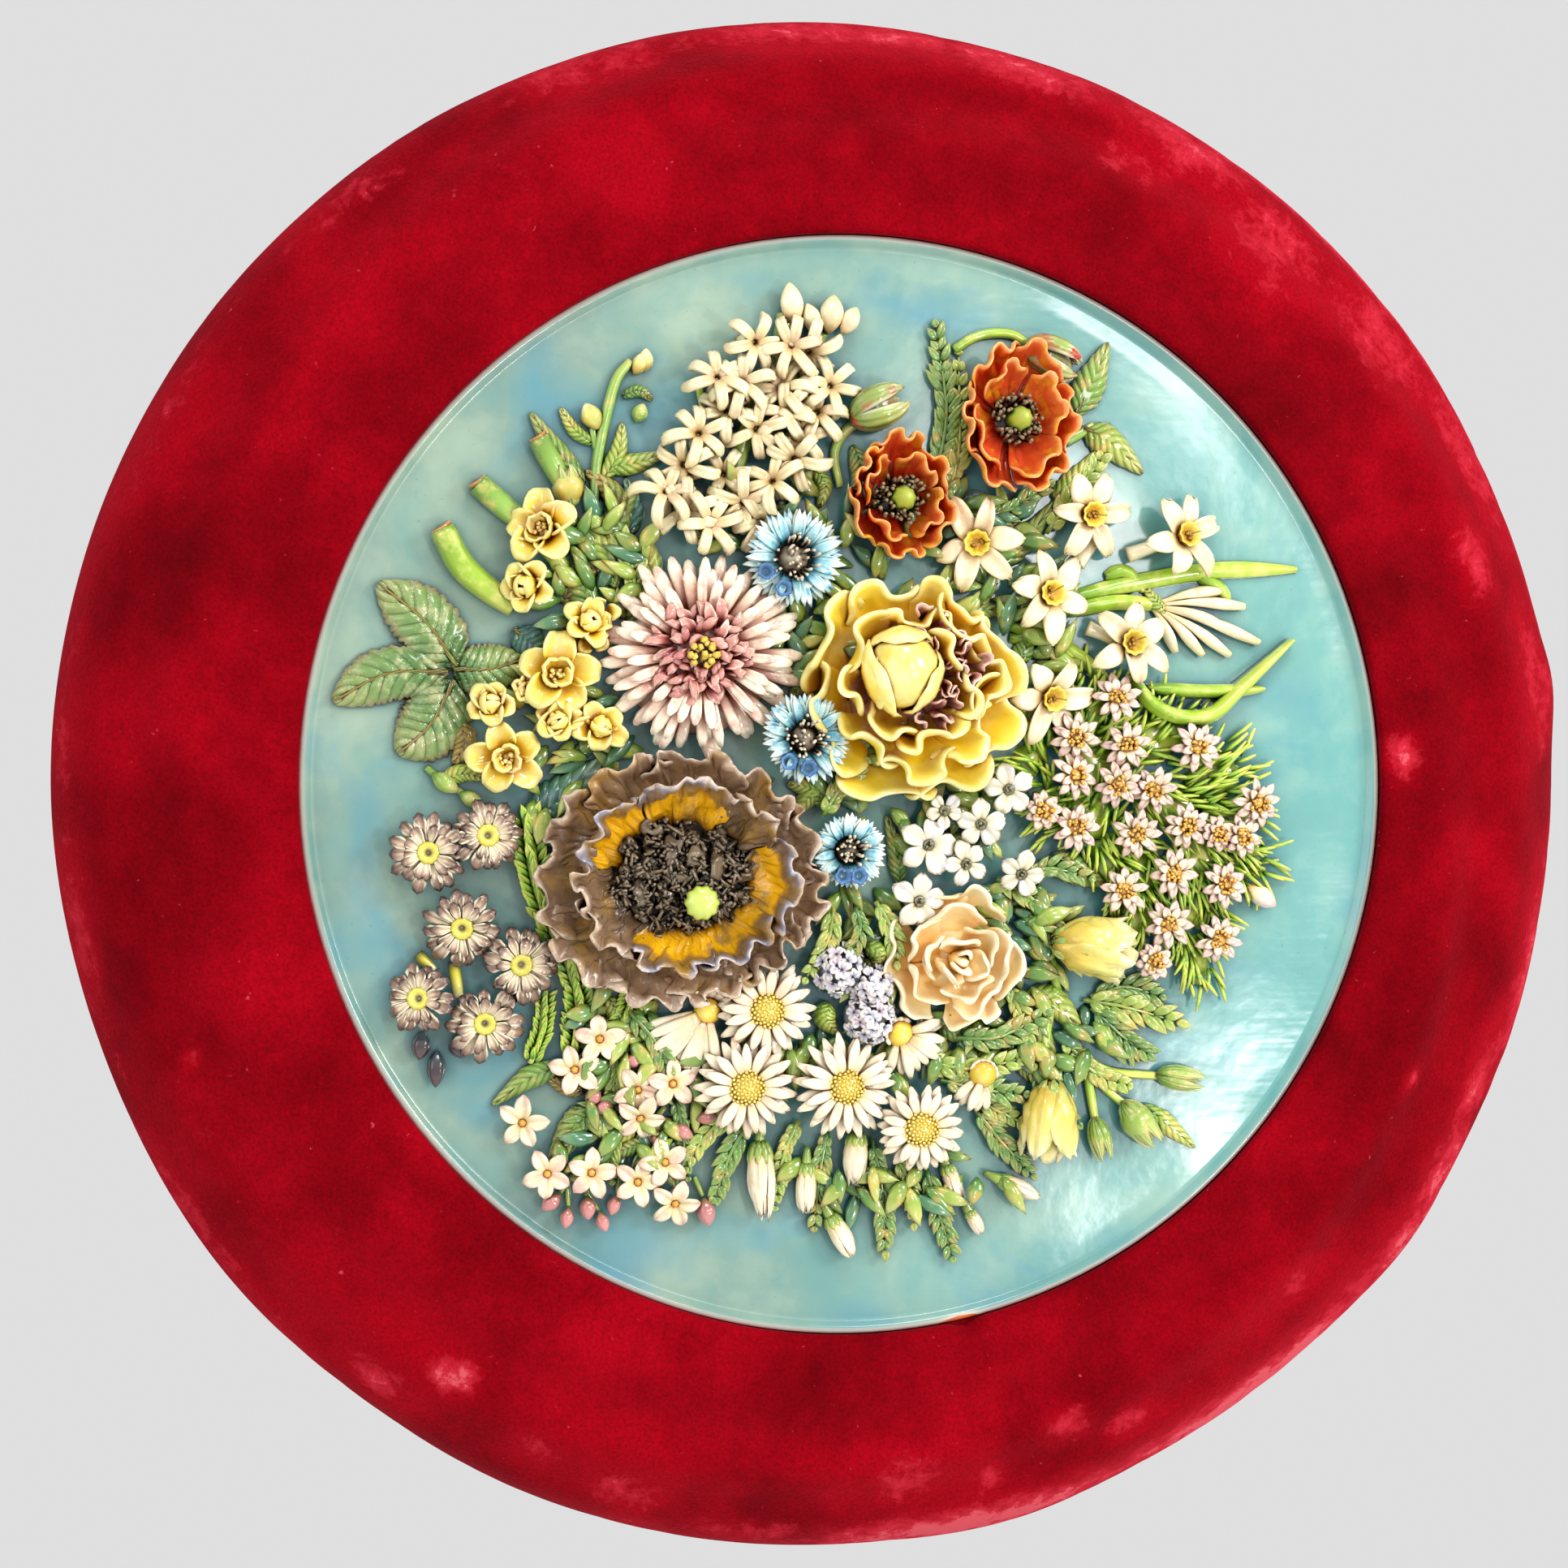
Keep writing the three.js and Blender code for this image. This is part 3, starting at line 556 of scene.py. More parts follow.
def strap(spine, width, height, shape=(0.6, 1, 1, 1, 0.9, 0.35), ridges=2, glaze=0, along=28):
    """Long blade or stalk that lies on the ground, with ridges along it."""
    spine = np.asarray(spine, float)

    def middle(u, v):
        ahead = flowing(spine, np.minimum(v + 0.02, 1)) - flowing(spine, np.maximum(v - 0.02, 0))
        ahead /= np.linalg.norm(ahead, axis=-1, keepdims=True)
        half = width / 2 * flowing(shape, v)
        flat = flowing(spine, v)
        z = height * np.sqrt(1.02 - u**2) * flowing([0.8, 1, 1, 0.6], v) + 0.05 * width * np.cos(ridges * 2 * pi * u)
        return np.stack([flat[..., 0] - ahead[..., 1] * half * u, flat[..., 1] + ahead[..., 0] * half * u, z - 0.8],
                        axis=-1)

    return sheet(middle, 1.8, 11, along, glaze).move(z=GROUND)


def stalk(points, thick, height=2.5, thin=0.8, glaze=0):
    """Round stem along the ground."""
    spine = [(x, y, GROUND + height * 0.55) for x, y in points]
    return rod(spine, [thick / 2, thick / 2, thick / 2 * thin], 9, 6 + 6 * len(points), glaze=glaze)


def lying(forms, x, y, direction, lift):
    """Lays a form that was made upright on the ground, its tip in a direction."""
    for form in forms:
        form.lean(88).spin(direction).move(x, y, GROUND + lift)
    return forms


# ---------------------------------------------------------------- the flowers
HYACINTH = [
    (-42, 164, 10), (-56, 150, 42), (-21, 162, 25), (-31, 147, 0), (-63, 129, 15), (-41, 132, 25),
    (-13, 149, 50), (-53, 115, 0), (-35, 112, 20), (-75, 107, 0), (-59, 96, 10), (-24, 130, 15), (-39, 98, 5),
    (-52, 138, 30), (-28, 163, 5), (-46, 105, 40), (-68, 118, 35), (-47, 148, 20), (-27, 121, 50), (-18, 139, 10),
    (-67, 101, 25), (-30, 138, 45),
]


def hyacinth():
    ivory = fired_glaze("ivory_glaze", [(0.0, "#b88c4c"), (0.22, "#e8d098"), (0.6, "#f8ecc0"), (1.0, "#f2dea4")],
                        hollow="#8c7438", blush="#f0d0a8", lines=1, line_depth=0.5)
    forms = []
    for x, y, turn in HYACINTH:
        floret = []
        for i in range(6):
            one = petal(18 + jitter(2.5), 4.8, [0.8, 0.95, 1, 0.95, 0.7], [44, 28, -14, -70, -130 + jitter(40)],
                        cup=-0.7, rounding=0.35, crease=-0.6, bow=jitter(0.26), start=0.8, thickness=2.0, along=17)
            floret.append(one.spin(i * 60 + jitter(9)))
        floret.append(rod([(0, 0, -11), (0, 0, -0.4)], [3.0, 2.2]))
        forms += planted(floret, x, y, turn, chance.uniform(8, 34), chance.uniform(0, 360), 10 + jitter(3))
    for x, y, direction, length, width in [(-26, 171, 97, 17, 8.5), (-13, 169, 82, 15, 9), (-17, 168, 110, 13, 7),
                                           (-8, 169, 60, 12, 7)]:
        forms += lying([ovoid(length, width, 3, 0.1)], x, y, direction, 5.5)
    return fire("white_hyacinth", forms, [ivory])


POPPIES = [(57, 138, 0, 25.5, 1.17), (12, 107, 30, 22.5, 1.05)]


def poppies():
    scarlet = fired_glaze("scarlet_glaze", [(0.0, "#8c2414"), (0.3, "#e44c24"), (0.7, "#f2642e"), (0.9, "#f48040"),
                                            (1.0, "#f8b060")],
                          hollow="#d06038", blush="#f4b01c", blush_mm=8, lines=4, line_depth=0.5, wander=0.25)
    soot = fired_glaze("soot_brown_glaze", [(0.0, "#2c1c18"), (0.75, "#4a3830"), (1.0, "#8c7850")], gloss=0.3)
    lime = fired_glaze("lime_glaze", [(0.0, "#6f8f2c"), (0.6, "#9fbf3c"), (1.0, "#b9cf58")], hollow="#3c4a14")
    forms = []
    for x, y, turn, reach, tall in POPPIES:
        head = []
        for i in range(6):
            rim = (reach * (0.97 + jitter(0.07)), 21 + jitter(2.5))
            head.append(frill(turn + 60 * i + jitter(6), 38, (5, 2), rim, 2.4 + jitter(0.6), 2.0, 0.4, 0.5, narrow=0.8,
                              pleats=6, pleat=0.7, thickness=1.8, across=45, along=15))
        for i in range(4):
            rim = (reach * (0.74 + jitter(0.06)), 23 + jitter(2.5))
            head.append(frill(turn + 30 + 90 * i + jitter(8), 46, (5, 4), rim, 2.4 + jitter(0.6), 1.8, 0.4, 0.5,
                              narrow=0.8, pleats=6, pleat=0.6, thickness=1.7, across=41, along=13))
        for form in head:
            form.stretch(0.87, tall * 0.97, 1)
        head += [dome(9, 5, 2, glaze=1)]
        for _ in range(80):
            out, angle = chance.uniform(3, 7), chance.uniform(0, 2 * pi)
            tip = np.array([out * cos(angle) * 1.45, out * sin(angle) * 1.45, 15 + jitter(3)])
            foot = np.array([out * cos(angle), out * sin(angle), 4])
            head.append(rod([foot, (foot + tip) / 2 + [jitter(2.4), jitter(2.4), 0], tip], [0.55, 0.5, 0.75], 5, 8, glaze=1))
        pod = ovoid(17, 10, 8, 0.05, 0.95, 24, glaze=2)
        head += [pod.move(1, 0, 5)]
        forms += planted(head, x, y, 0, 4, 0, 1)
    return fire("scarlet_poppies", forms, [scarlet, soot, lime])


NARCISSI = [  # x, y, turn, lean, towards
    (43, 91, 10, 12, 200), (71, 72, 40, 10, 20), (87, 103, 0, 14, 330), (124, 95, 20, 22, 20),
    (103, 54, 30, 8, 0), (71, 33, 0, 20, 330),
]
NARCISSUS_TUBES = [[(72, 60), (62, 63)], [(92, 95), (84, 84)], [(121, 94), (104, 88)], [(98, 56), (88, 60)]]
NARCISSUS_CLUBS = [(143, 75), (152, 69), (144, 61), (158, 55), (135, 50), (146, 50), (124, 51)]


def narcissi():
    cream = fired_glaze("cream_glaze", [(0.0, "#d8b470"), (0.2, "#ecd69c"), (0.6, "#faeecc"), (1.0, "#f4e0b0")],
                        hollow="#a08448", blush="#f2d8a8", lines=1, line_depth=0.35)
    yolk = fired_glaze("yolk_yellow_glaze", [(0.0, "#e0a828"), (0.4, "#f2cc38"), (0.7, "#f8de54"), (1.0, "#ecb828")],
                       hollow="#c8841c", lines=7)
    forms = []
    for x, y, turn, lean, toward in NARCISSI:
        bloom = []
        for i in range(6):
            bloom.append(petal(17 + jitter(2), 9.6 - i % 2, OVAL, [28, 16 + jitter(16), -8, -38 + jitter(30)],
                               cup=0.4 + jitter(0.8), rounding=0.16, crease=-0.2, bow=jitter(0.2), start=1.5,
                               ruffle=0.5, thickness=1.7, across=11, along=13)
                         .spin(i * 60 + jitter(6)))
        cup = [(0, 0.6), (3.0, 0.8), (3.8, 2.6), (4.3, 4.4), (5.0, 5.4), (4.7, 5.9), (3.8, 5.0), (3.0, 3.6),
               (1.8, 2.6), (0, 2.4)]
        bloom += [turned(cup, 44, 9, 0.06, glaze=1)] + tuft(5, 1.6, 2, 4.2, 0.5, glaze=1)
        bloom.append(rod([(0, 0, -12), (0, 0, 0)], [2.6, 2.2]))
        forms += planted(bloom, x, y, turn, lean, toward, 10)
    for points in NARCISSUS_TUBES:
        forms.append(stalk(points, 5.2, 9, 1.2))
    for x, y in NARCISSUS_CLUBS:
        spine = [(114, 69, GROUND + 2.5), (0.5 * (114 + x), 0.5 * (69 + y) + 1.5, GROUND + 3.4), (x, y, GROUND + 2.6)]
        forms.append(rod(spine, [0.8, 1.0, 1.9, 2.6, 1.5], 10, 14))
    return fire("cream_narcissi", forms, [cream, yolk])


ASTER = (-62, 48)


def aster():
    rays = fired_glaze("blush_ray_glaze", [(0.0, "#a8604c"), (0.25, "#e4b09c"), (0.55, "#fce0c4"), (1.0, "#fff4dc")],
                       hollow="#b87860", blush="#eab09c", lines=1, line_depth=0.4)
    rose = fired_glaze("rose_madder_glaze", [(0.0, "#8c3c3c"), (0.4, "#c07068"), (0.8, "#e4a090"), (1.0, "#f8d4c0")],
                       hollow="#9c4c3c", blush="#c06468", lines=1, line_depth=0.4)
    eye = fired_glaze("ochre_glaze", [(0.0, "#8a6a14"), (0.6, "#d3a626"), (1.0, "#e6c34a")], hollow="#4c4a12")
    narrow = [0.6, 0.8, 0.95, 1.0, 0.9]
    small = dict(across=7, along=10, rounding=0.2, thickness=1.4, wild=0.12)
    head = tier(32, 21, 4.9, narrow, [22, 4, -8, -12], 0, 6, cup=-0.5, start=17, height=9, **small)
    head += tier(31, 20, 4.6, narrow, [30, 12, -2, -10], 6, 8, cup=-0.4, start=14, height=12, **small)
    head += tier(27, 17, 4.0, narrow, [44, 22, 6, -6], 3, 10, cup=0.5, start=12, height=14, **small)
    for ring, (count, reach, out, steep) in enumerate(((22, 11, 11, 30), (20, 10, 9, 48), (17, 9, 7, 62), (12, 8, 5, 74))):
        for i in range(count):
            curl = chance.choice([-1, 1])
            tilt = steep + jitter(16)
            one = petal(reach * (1 + jitter(0.3)), 4.4 + jitter(1.2), narrow, [tilt, tilt + 10, 20, -70 + jitter(60)],
                        cup=0.9 * curl, bow=0.35 * curl, start=out + jitter(1), height=15.5 + ring * 0.6, glaze=1,
                        thickness=1.3, across=7, along=10, rounding=0.3)
            head.append(one.spin(i * 360 / count + jitter(14)))
    head += [dome(20, 15, 0, glaze=1)] + tuft(24, 4.0, 19, 26, 0.9, glaze=2)
    head += [dome(30, 9, 0)]
    forms = planted(head, *ASTER, 4)
    return fire("pink_aster", forms, [rays, rose, eye])


PEONY = (15, 36)
PEONY_PETALS = [  # direction, spread, foot, rim, waves, fold
    (150, 34, (20, 3), (40, 24), 2.6, 4.0), (104, 30, (20, 3), (38, 22), 3.0, 4.0), (62, 28, (20, 3), (38, 23), 3.0, 4.0),
    (20, 30, (20, 3), (41, 24), 2.6, 4.0), (-22, 30, (20, 3), (42, 21), 2.8, 4.0), (-62, 30, (20, 2), (42, 19), 2.6, 3.6),
    (-104, 32, (20, 2), (43, 19), 2.8, 3.6), (-146, 30, (18, 3), (38, 20), 2.6, 3.6), (184, 26, (20, 3), (36, 24), 2.4, 3.6),
    (140, 34, (15, 9), (28, 32), 2.2, 4.6), (88, 30, (15, 9), (27, 30), 2.6, 4.4), (44, 26, (17, 9), (30, 30), 2.4, 4.0),
    (4, 28, (17, 9), (32, 30), 2.6, 4.0), (-40, 30, (17, 8), (33, 27), 2.8, 4.2), (-84, 32, (15, 8), (33, 27), 3.0, 4.4),
    (-128, 30, (14, 8), (29, 28), 2.4, 4.2), (182, 26, (13, 9), (25, 34), 2.2, 3.6),
    (-66, 40, (11, 14), (22, 34), 3.0, 4.0), (-8, 30, (13, 14), (22, 34), 2.0, 3.4), (46, 30, (12, 14), (20, 36), 2.0, 3.0),
    (172, 44, (11, 14), (17, 40), 1.8, 2.4), (-122, 40, (9, 14), (20, 34), 2.4, 3.4),
]


def peony():
    butter = fired_glaze("butter_yellow_glaze", [(0.0, "#b47c14"), (0.3, "#eab61c"), (0.6, "#fad830"),
                                                 (0.88, "#fce458"), (1.0, "#fef6ac")],
                         hollow="#d8a434", blush="#f4de78", blush_mm=14, wander=0.3, gloss=0.14)
    mauve = fired_glaze("mauve_glaze", [(0.0, "#b06c64"), (0.4, "#d8a094"), (1.0, "#f0ccba")], hollow="#b06c64",
                        blush="#c07c80")
    forms = []
    for direction, spread, foot, rim, waves, fold in PEONY_PETALS:
        forms.append(frill(direction, spread * 1.14, foot, rim, waves * 0.52, fold * 1.05, 0.42, thickness=2.9,
                           rounding=0.32, across=57, along=17).knead(0.5, 14))
    ball = [turned([(0, 0), (6, 0.6), (10.4, 4), (12.9, 9), (13.6, 15), (12.8, 21), (10.4, 25.6), (6.4, 28.6), (2.6, 29.8),
                    (0, 30)], 36, 3, 0.03, 1.2)]
    for direction, wide in ((205, 30), (330, 26), (95, 26)):
        ball.append(petal(36, wide * 1.1, BROAD, [4, 60, 96, 140], cup=0.95, rounding=0.4, start=2, height=0.5, ruffle=0.8,
                          thickness=1.9, across=19, along=21).spin(direction))
    for form in ball:
        form.marks[:, 0] = 0.78 + 0.2 * form.marks[:, 0]
        forms.append(form.stretch(1, 1.08, 1).move(-5, 6, 15))
    for x, y, turn in ((6, 24, 0), (13, 14, 50), (17, 3, 100), (12, 4, 160), (11, -6, 20), (21, 9, 240), (7, -11, 80)):
        for i in range(3):
            forms.append(frill(turn + 120 * i, 50, (1.5, 18), (6.4, 33 + jitter(2.4)), 1.4, 1.7, 0.2, glaze=1,
                               thickness=1.5, across=19, along=11).move(x, y))
    for x, y, turn in ((14, 24, 210), (26, -2, 150)):
        forms.append(frill(turn, 70, (8, 16), (13, 32), 0.9, 1.4, 0.15, thickness=2.2, across=31, along=13)
                     .move(x - 10 * cos(radians(turn)), y - 10 * sin(radians(turn))))
    forms.append(dome(25, 19, 0, 3, 0.05, glaze=1).move(2, 0))
    return fire("yellow_peony", planted(forms, *PEONY), [butter, mauve])


CORNFLOWERS = [(-27, 84, 0, 19, 1), (-24, 17, 20, 17, 8), (-7, -25, 40, 14.5, 4)]  # x, y, turn, reach, lift


def cornflowers():
    sky = fired_glaze("sky_blue_glaze", [(0.0, "#5ca0b8"), (0.3, "#94d0de"), (0.65, "#c8eeea"), (1.0, "#fafff4")],
                      hollow="#6ca0a8", blush="#58b0d4", blush_mm=4, lines=1, line_depth=0.4, wander=0.6)
    cobalt = fired_glaze("cobalt_glaze", [(0.0, "#122f6c"), (0.6, "#1f55a0"), (1.0, "#7fb6dc")], hollow="#0c1c44")
    umber = fired_glaze("umber_glaze", [(0.0, "#7c6a54"), (0.6, "#b8a488"), (1.0, "#e0d0b4")], hollow="#544430")
    forms = []
    tooth = [0.7, 1.0, 0.85, 0.3]
    for x, y, turn, reach, lift in CORNFLOWERS:
        head = []
        for i in range(11):
            way, slope = turn + i * 360 / 11 + jitter(6), jitter(12)
            shade = chance.uniform()
            for j in range(-2, 3):
                head.append(petal(reach * (0.66 + jitter(0.06)), 3.4, tooth, [50 + slope, 24 + slope, 2, -8], cup=0.5,
                                  start=reach * 0.36, height=8 + abs(j), thickness=1.2, across=5, along=8,
                                  tint=shade).spin(way + j * 7.5 + jitter(2)))
            head.append(petal(reach * 0.5, 8, SPOON, [60, 44, 14], cup=0.7, start=reach * 0.3, height=6, across=7,
                              along=7, tint=shade * 0.6).spin(way))
        for i in range(2):
            mouth = [(0, 0), (1.4, 0.2), (2.6, 3), (3.2, 4.6), (2.6, 4.4), (1.6, 2), (0, 1)]
            head.append(turned(mouth, 14, 5, 0.1, glaze=1).move(reach * 0.66, 0, 12)
                        .spin(205 + 50 * i + turn + jitter(8)))
        head += [dome(reach * 0.42, 13, 0, glaze=2), dome(reach * 0.4, 12, -lift, glaze=2)]
        head += tuft(38, reach * 0.36, 10, 20, 0.5, knob=1.2, glaze=2)
        forms += planted(head, x, y, lift=lift)
    return fire("blue_cornflowers", forms, [sky, cobalt, umber])


BUTTERCUPS = [  # x, y, turn, across, openness, lean, towards
    (-119, 92, 20, 29, 0.8, 24, 150), (-124, 73, 50, 22, 0.45, 26, 200), (-115, 40, 10, 30, 1.0, 6, 90),
    (-115, 22, 0, 21, 0.3, 10, 90), (-100, 21, 40, 21, 0.7, 10, 0), (-138, 28, 60, 21, 0.5, 16, 130),
    (-133, 10, 30, 27, 1.0, 8, 240), (-104, 58, 0, 20, 0.6, 20, 60), (-127, 33, 10, 13, 0.2, 20, 60),
]


def buttercups():
    gold = fired_glaze("canary_yellow_glaze", [(0.0, "#d0a01c"), (0.3, "#ecc42c"), (0.65, "#f6dc4c"),
                                               (1.0, "#faec94")],
                       hollow="#dcac34", blush="#f6dc98", blush_mm=9, gloss=0.14)
    forms = []
    for x, y, turn, across, openness, lean, toward in BUTTERCUPS:
        reach = across / 2
        lift = 18 + 34 * (1 - openness)
        head = []
        for i in range(5):
            slopes = [lift + jitter(10), lift * 1.5 + jitter(12), lift * 0.8, lift * 0.4 - 26 + jitter(16)]
            head.append(petal(reach * (1 + jitter(0.1)), across * 0.56, [0.22, 0.65, 0.98, 1.0, 0.85], slopes, cup=1.4,
                              rounding=0.42, ruffle=0.9, waves=2, start=1.2, height=0.8 * (i % 2), thickness=1.7,
                              across=15, along=13).spin(i * 72 + jitter(7)))
        if openness < 0.75:
            head += tier(4, reach * 0.95, across * 0.5, SPOON, [62, 84, 112, 150], 30, 10, cup=1.3, rounding=0.34,
                         start=2.2, height=1, thickness=1.6, across=13, along=11)
        else:
            head += tier(4, reach * 0.7, across * 0.36, SPOON, [46, 60, 66, 110], 36, 14, cup=1.4, rounding=0.34,
                         ruffle=0.5, start=1.2, height=1, thickness=1.6, across=11, along=11)
        head += [dome(3.4, 4.5, 0)] + tuft(10, 2.2, 3, 6.5, 0.7)
        head.append(rod([(0, 0, -9), (0, 0, 0)], [3.4, 2.6]))
        forms += planted(head, x, y, turn, lean, toward, 8)
    for i in range(3):
        forms += planted(tier(3, 9, 7, SPOON, [40, 60, 60, 10], i * 50, cup=0.8, ruffle=0.8, start=1), -98 - 2 * i,
                         63 - 5 * i, lift=5)
    return fire("yellow_buttercups", forms, [gold])


AURICULAS = [  # x, y, turn, across, lean, towards
    (-161, -25, 0, 28, 6, 170), (-140, -19, 9, 27, 8, 60), (-149, -52, 0, 29, 14, 250), (-128, -66, 9, 28, 6, 0),
    (-164, -78, 0, 25, 22, 160), (-141, -87, 9, 28, 6, 280),
]


def auriculas():
    plum = fired_glaze("plum_brown_glaze", [(0.0, "#ece4a0"), (0.3, "#f0e2ba"), (0.55, "#dcc4a4"), (0.74, "#9c7c66"),
                                            (1.0, "#503834")],
                       hollow="#4c342c", edge="#f0e0c0", wander=0.4, lines=1, line_depth=0.6)
    eye = fired_glaze("lemon_glaze", [(0.0, "#3a3410"), (0.3, "#d9cb3c"), (0.7, "#eadf68"), (1.0, "#e3dba0")],
                      hollow="#4c4410", wander=0.1)
    dusk = fired_glaze("blue_brown_glaze", [(0.0, "#3c4c54"), (0.5, "#423438"), (1.0, "#584448")], hollow="#20181a")
    forms = []
    for x, y, turn, across, lean, toward in AURICULAS:
        reach = across / 2
        head = tier(14, reach * 0.84, 6.2, [0.35, 0.5, 0.75, 1.0, 0.8], [24, 10, -10, -30], 0, 8, 0.12, cup=1.1,
                    rounding=0.34, start=reach * 0.2, height=1, ruffle=0.7, thickness=1.5, across=9, along=11)
        head += tier(11, reach * 0.6, 4.4, [0.4, 0.6, 0.9, 1.0, 0.7], [40, 26, 4, -30], 12, 10, 0.2, cup=1.0,
                     rounding=0.34, start=reach * 0.22, height=1.6, ruffle=0.5, thickness=1.3, across=7, along=9)
        eye_rows = [(0, 0), (4.4, 1.6), (4.5, 2.6), (3.6, 3.6), (2.4, 3.5), (1.4, 2.4), (0.9, 1.2), (0, 0.6)]
        head.append(turned(eye_rows, 20, 10, 0.05, glaze=1))
        head.append(rod([(0, 0, -9), (0, 0, 1)], [2.8, 3.4]))
        forms += planted(head, x, y, turn, lean, toward, 8.5)
    for x0, y0, x1, y1 in ((-165, -62, -159, -68), (-152, -65, -150, -78)):
        forms.append(stalk([(x0, y0), (x1, y1)], 4.2, 7, glaze=1))
    for x, y, direction, length in ((-163, -90, 262, 11), (-158, -97, 268, 14), (-152, -92, 290, 9)):
        forms += lying([ovoid(length, 6.5, 5, 0.1, glaze=2)], x, y, direction, 3.5)
    return fire("brown_auriculas", forms, [plum, eye, dusk])


DARK_POPPY = (-69, -34)
DARK_PETALS = [  # direction, spread, foot, rim, waves, fold, glaze: 0 orange at the foot, 3 brown all over
    (150, 24, (27, 6), (51, 18), 2.6, 2.6, 3), (118, 24, (27, 7), (50, 20), 2.4, 2.8, 3),
    (84, 26, (25, 7), (49, 22), 2.2, 2.6, 3), (50, 24, (27, 6), (49, 18), 2.6, 2.8, 3),
    (18, 24, (29, 6), (50, 18), 2.6, 2.8, 3), (-14, 24, (29, 6), (51, 20), 3.0, 3.0, 3),
    (-44, 24, (26, 5), (49, 18), 3.0, 3.2, 3), (-76, 26, (24, 5), (50, 17), 3.0, 3.2, 3),
    (-108, 26, (24, 5), (52, 18), 2.8, 3.0, 3), (-140, 26, (26, 6), (53, 18), 2.6, 2.8, 3),
    (-170, 24, (28, 6), (52, 19), 2.4, 2.8, 3), (86, 34, (21, 9), (38, 34), 1.8, 1.8, 0),
    (46, 26, (23, 9), (37, 30), 2.4, 2.6, 3), (-8, 34, (24, 9), (40, 29), 2.4, 2.4, 0),
    (-52, 30, (22, 8), (38, 27), 3.0, 3.0, 0), (-98, 30, (20, 8), (37, 27), 3.0, 3.0, 0),
    (-146, 30, (22, 9), (39, 29), 2.4, 2.6, 3), (146, 30, (23, 9), (38, 33), 2.2, 2.4, 0),
    (184, 26, (24, 9), (38, 30), 2.6, 2.6, 3),
]


def dark_poppy():
    taupe = fired_glaze("manganese_brown_glaze", [(0.0, "#dc9c0c"), (0.56, "#f4b408"), (0.66, "#c48c28"), (0.74, "#806448"),
                                                  (0.86, "#8c7460"), (0.94, "#8c90a8"), (1.0, "#d8c8c0")],
                        hollow="#8c6434", blush="#a47c34", blush_mm=12, lines=9, line_depth=0.6, wander=0.4, gloss=0.24,
                        grain=0.5, grain_mm=2.6)
    dusky = fired_glaze("dusky_brown_glaze", [(0.0, "#5c442c"), (0.4, "#84684c"), (0.85, "#98795f"), (0.95, "#b89c84"),
                                              (1.0, "#dcc4ac")],
                        hollow="#6c4c30", blush="#a8803c", blush_mm=12, lines=9, line_depth=0.6, wander=0.4, gloss=0.24,
                        grain=0.5, grain_mm=2.6)
    soot = fired_glaze("black_brown_glaze", [(0.0, "#241a12"), (0.5, "#4c3c2a"), (1.0, "#86735a")], hollow="#1c140c",
                       gloss=0.34)
    lime = fired_glaze("apple_lime_glaze", [(0.0, "#7c9a2c"), (0.6, "#b4cc3c"), (1.0, "#d4e070")], hollow="#3c4a14")
    forms = []
    for i, (direction, spread, foot, rim, waves, fold, glaze) in enumerate(DARK_PETALS):
        form = frill(direction, spread * 1.1, foot, rim, waves * 1.15, fold * 0.8, 0.35, rounding=0.4, narrow=0.75, pleats=9,
                     pleat=0.45, thickness=1.9, across=61, along=19, glaze=glaze, tint=0.2 + 0.6 * (i % 2))
        forms.append(form.stretch(1.03, 0.92, 1).knead(0.8, 9).knead(0.3, 4))
    clumps = []
    for i in range(30):
        reach, angle = 27 * (i / 30) ** 0.55, i * 2.4
        clumps.append((reach * cos(angle), reach * sin(angle) * 0.76, 17 - 7 * (i / 30) + jitter(1.6)))
    for x, y, top in clumps:
        lump = turned([(0, 0), (2.4, 0.2)] + [(4.9 * sin(a), 4.6 - 4.6 * cos(a)) for a in np.radians(range(30, 180, 12))]
                      + [(0, 9.2)], 22, glaze=1)
        lump.stretch(0.96, 0.96, 1).knead(1.7, 9).knead(1.0, 4.5).knead(0.5, 2.4)
        forms.append(lump.move(x, y, top - 9))
        for _ in range(20):
            out = chance.normal(size=3) * [1.9, 1.9, 0.9]
            foot, tip = np.array([x, y, top - 5]), np.array([x, y, top + 0.4]) + out
            bend = chance.normal(size=3) * [1.5, 1.5, 0.9]
            forms.append(rod([foot, (foot + tip) / 2 + bend, tip, tip + bend * 1.5], [0.8, 0.7, 0.55, 0.7], 5, 8, glaze=1,
                             tint=chance.uniform()))
    forms += [dome(27, 11, 0, 7, 0.05, glaze=1).stretch(1, 0.8, 1)]
    pod = turned([(0, 0), (4.2, 0.2), (5.0, 6), (5.6, 11), (6.2, 13), (5.4, 14.4), (2.6, 15.2), (0, 15.3)], 40, 10, 0.06,
                 glaze=2)
    forms.append(pod.move(5, -9, 18))
    return fire("dark_poppy", planted(forms, *DARK_POPPY), [taupe, soot, lime, dusky])


DAISIES = [(-38, -84, 0, 38), (-45, -112, 7, 38), (-8, -113, 0, 40), (21, -129, 7, 34)]
SIDE_DAISIES = [  # x, y, direction they open in, length of the rays, rays, spread in degrees
    (-59, -84, 236, 26, 11, 42), (14, -94, 318, 15, 10, 62), (46, -110, 250, 12, 5, 30),
]
CLOSED_DAISIES = [  # x, y, direction, length, width
    (-39, -134, 272, 27, 14), (-2, -132, 265, 18, 15), (-21, -143, 268, 17, 11), (-12, -163, 300, 16, 12),
    (33, -145, 290, 15, 9), (54, -151, 335, 16, 9), (42, -163, 300, 9, 8),
]


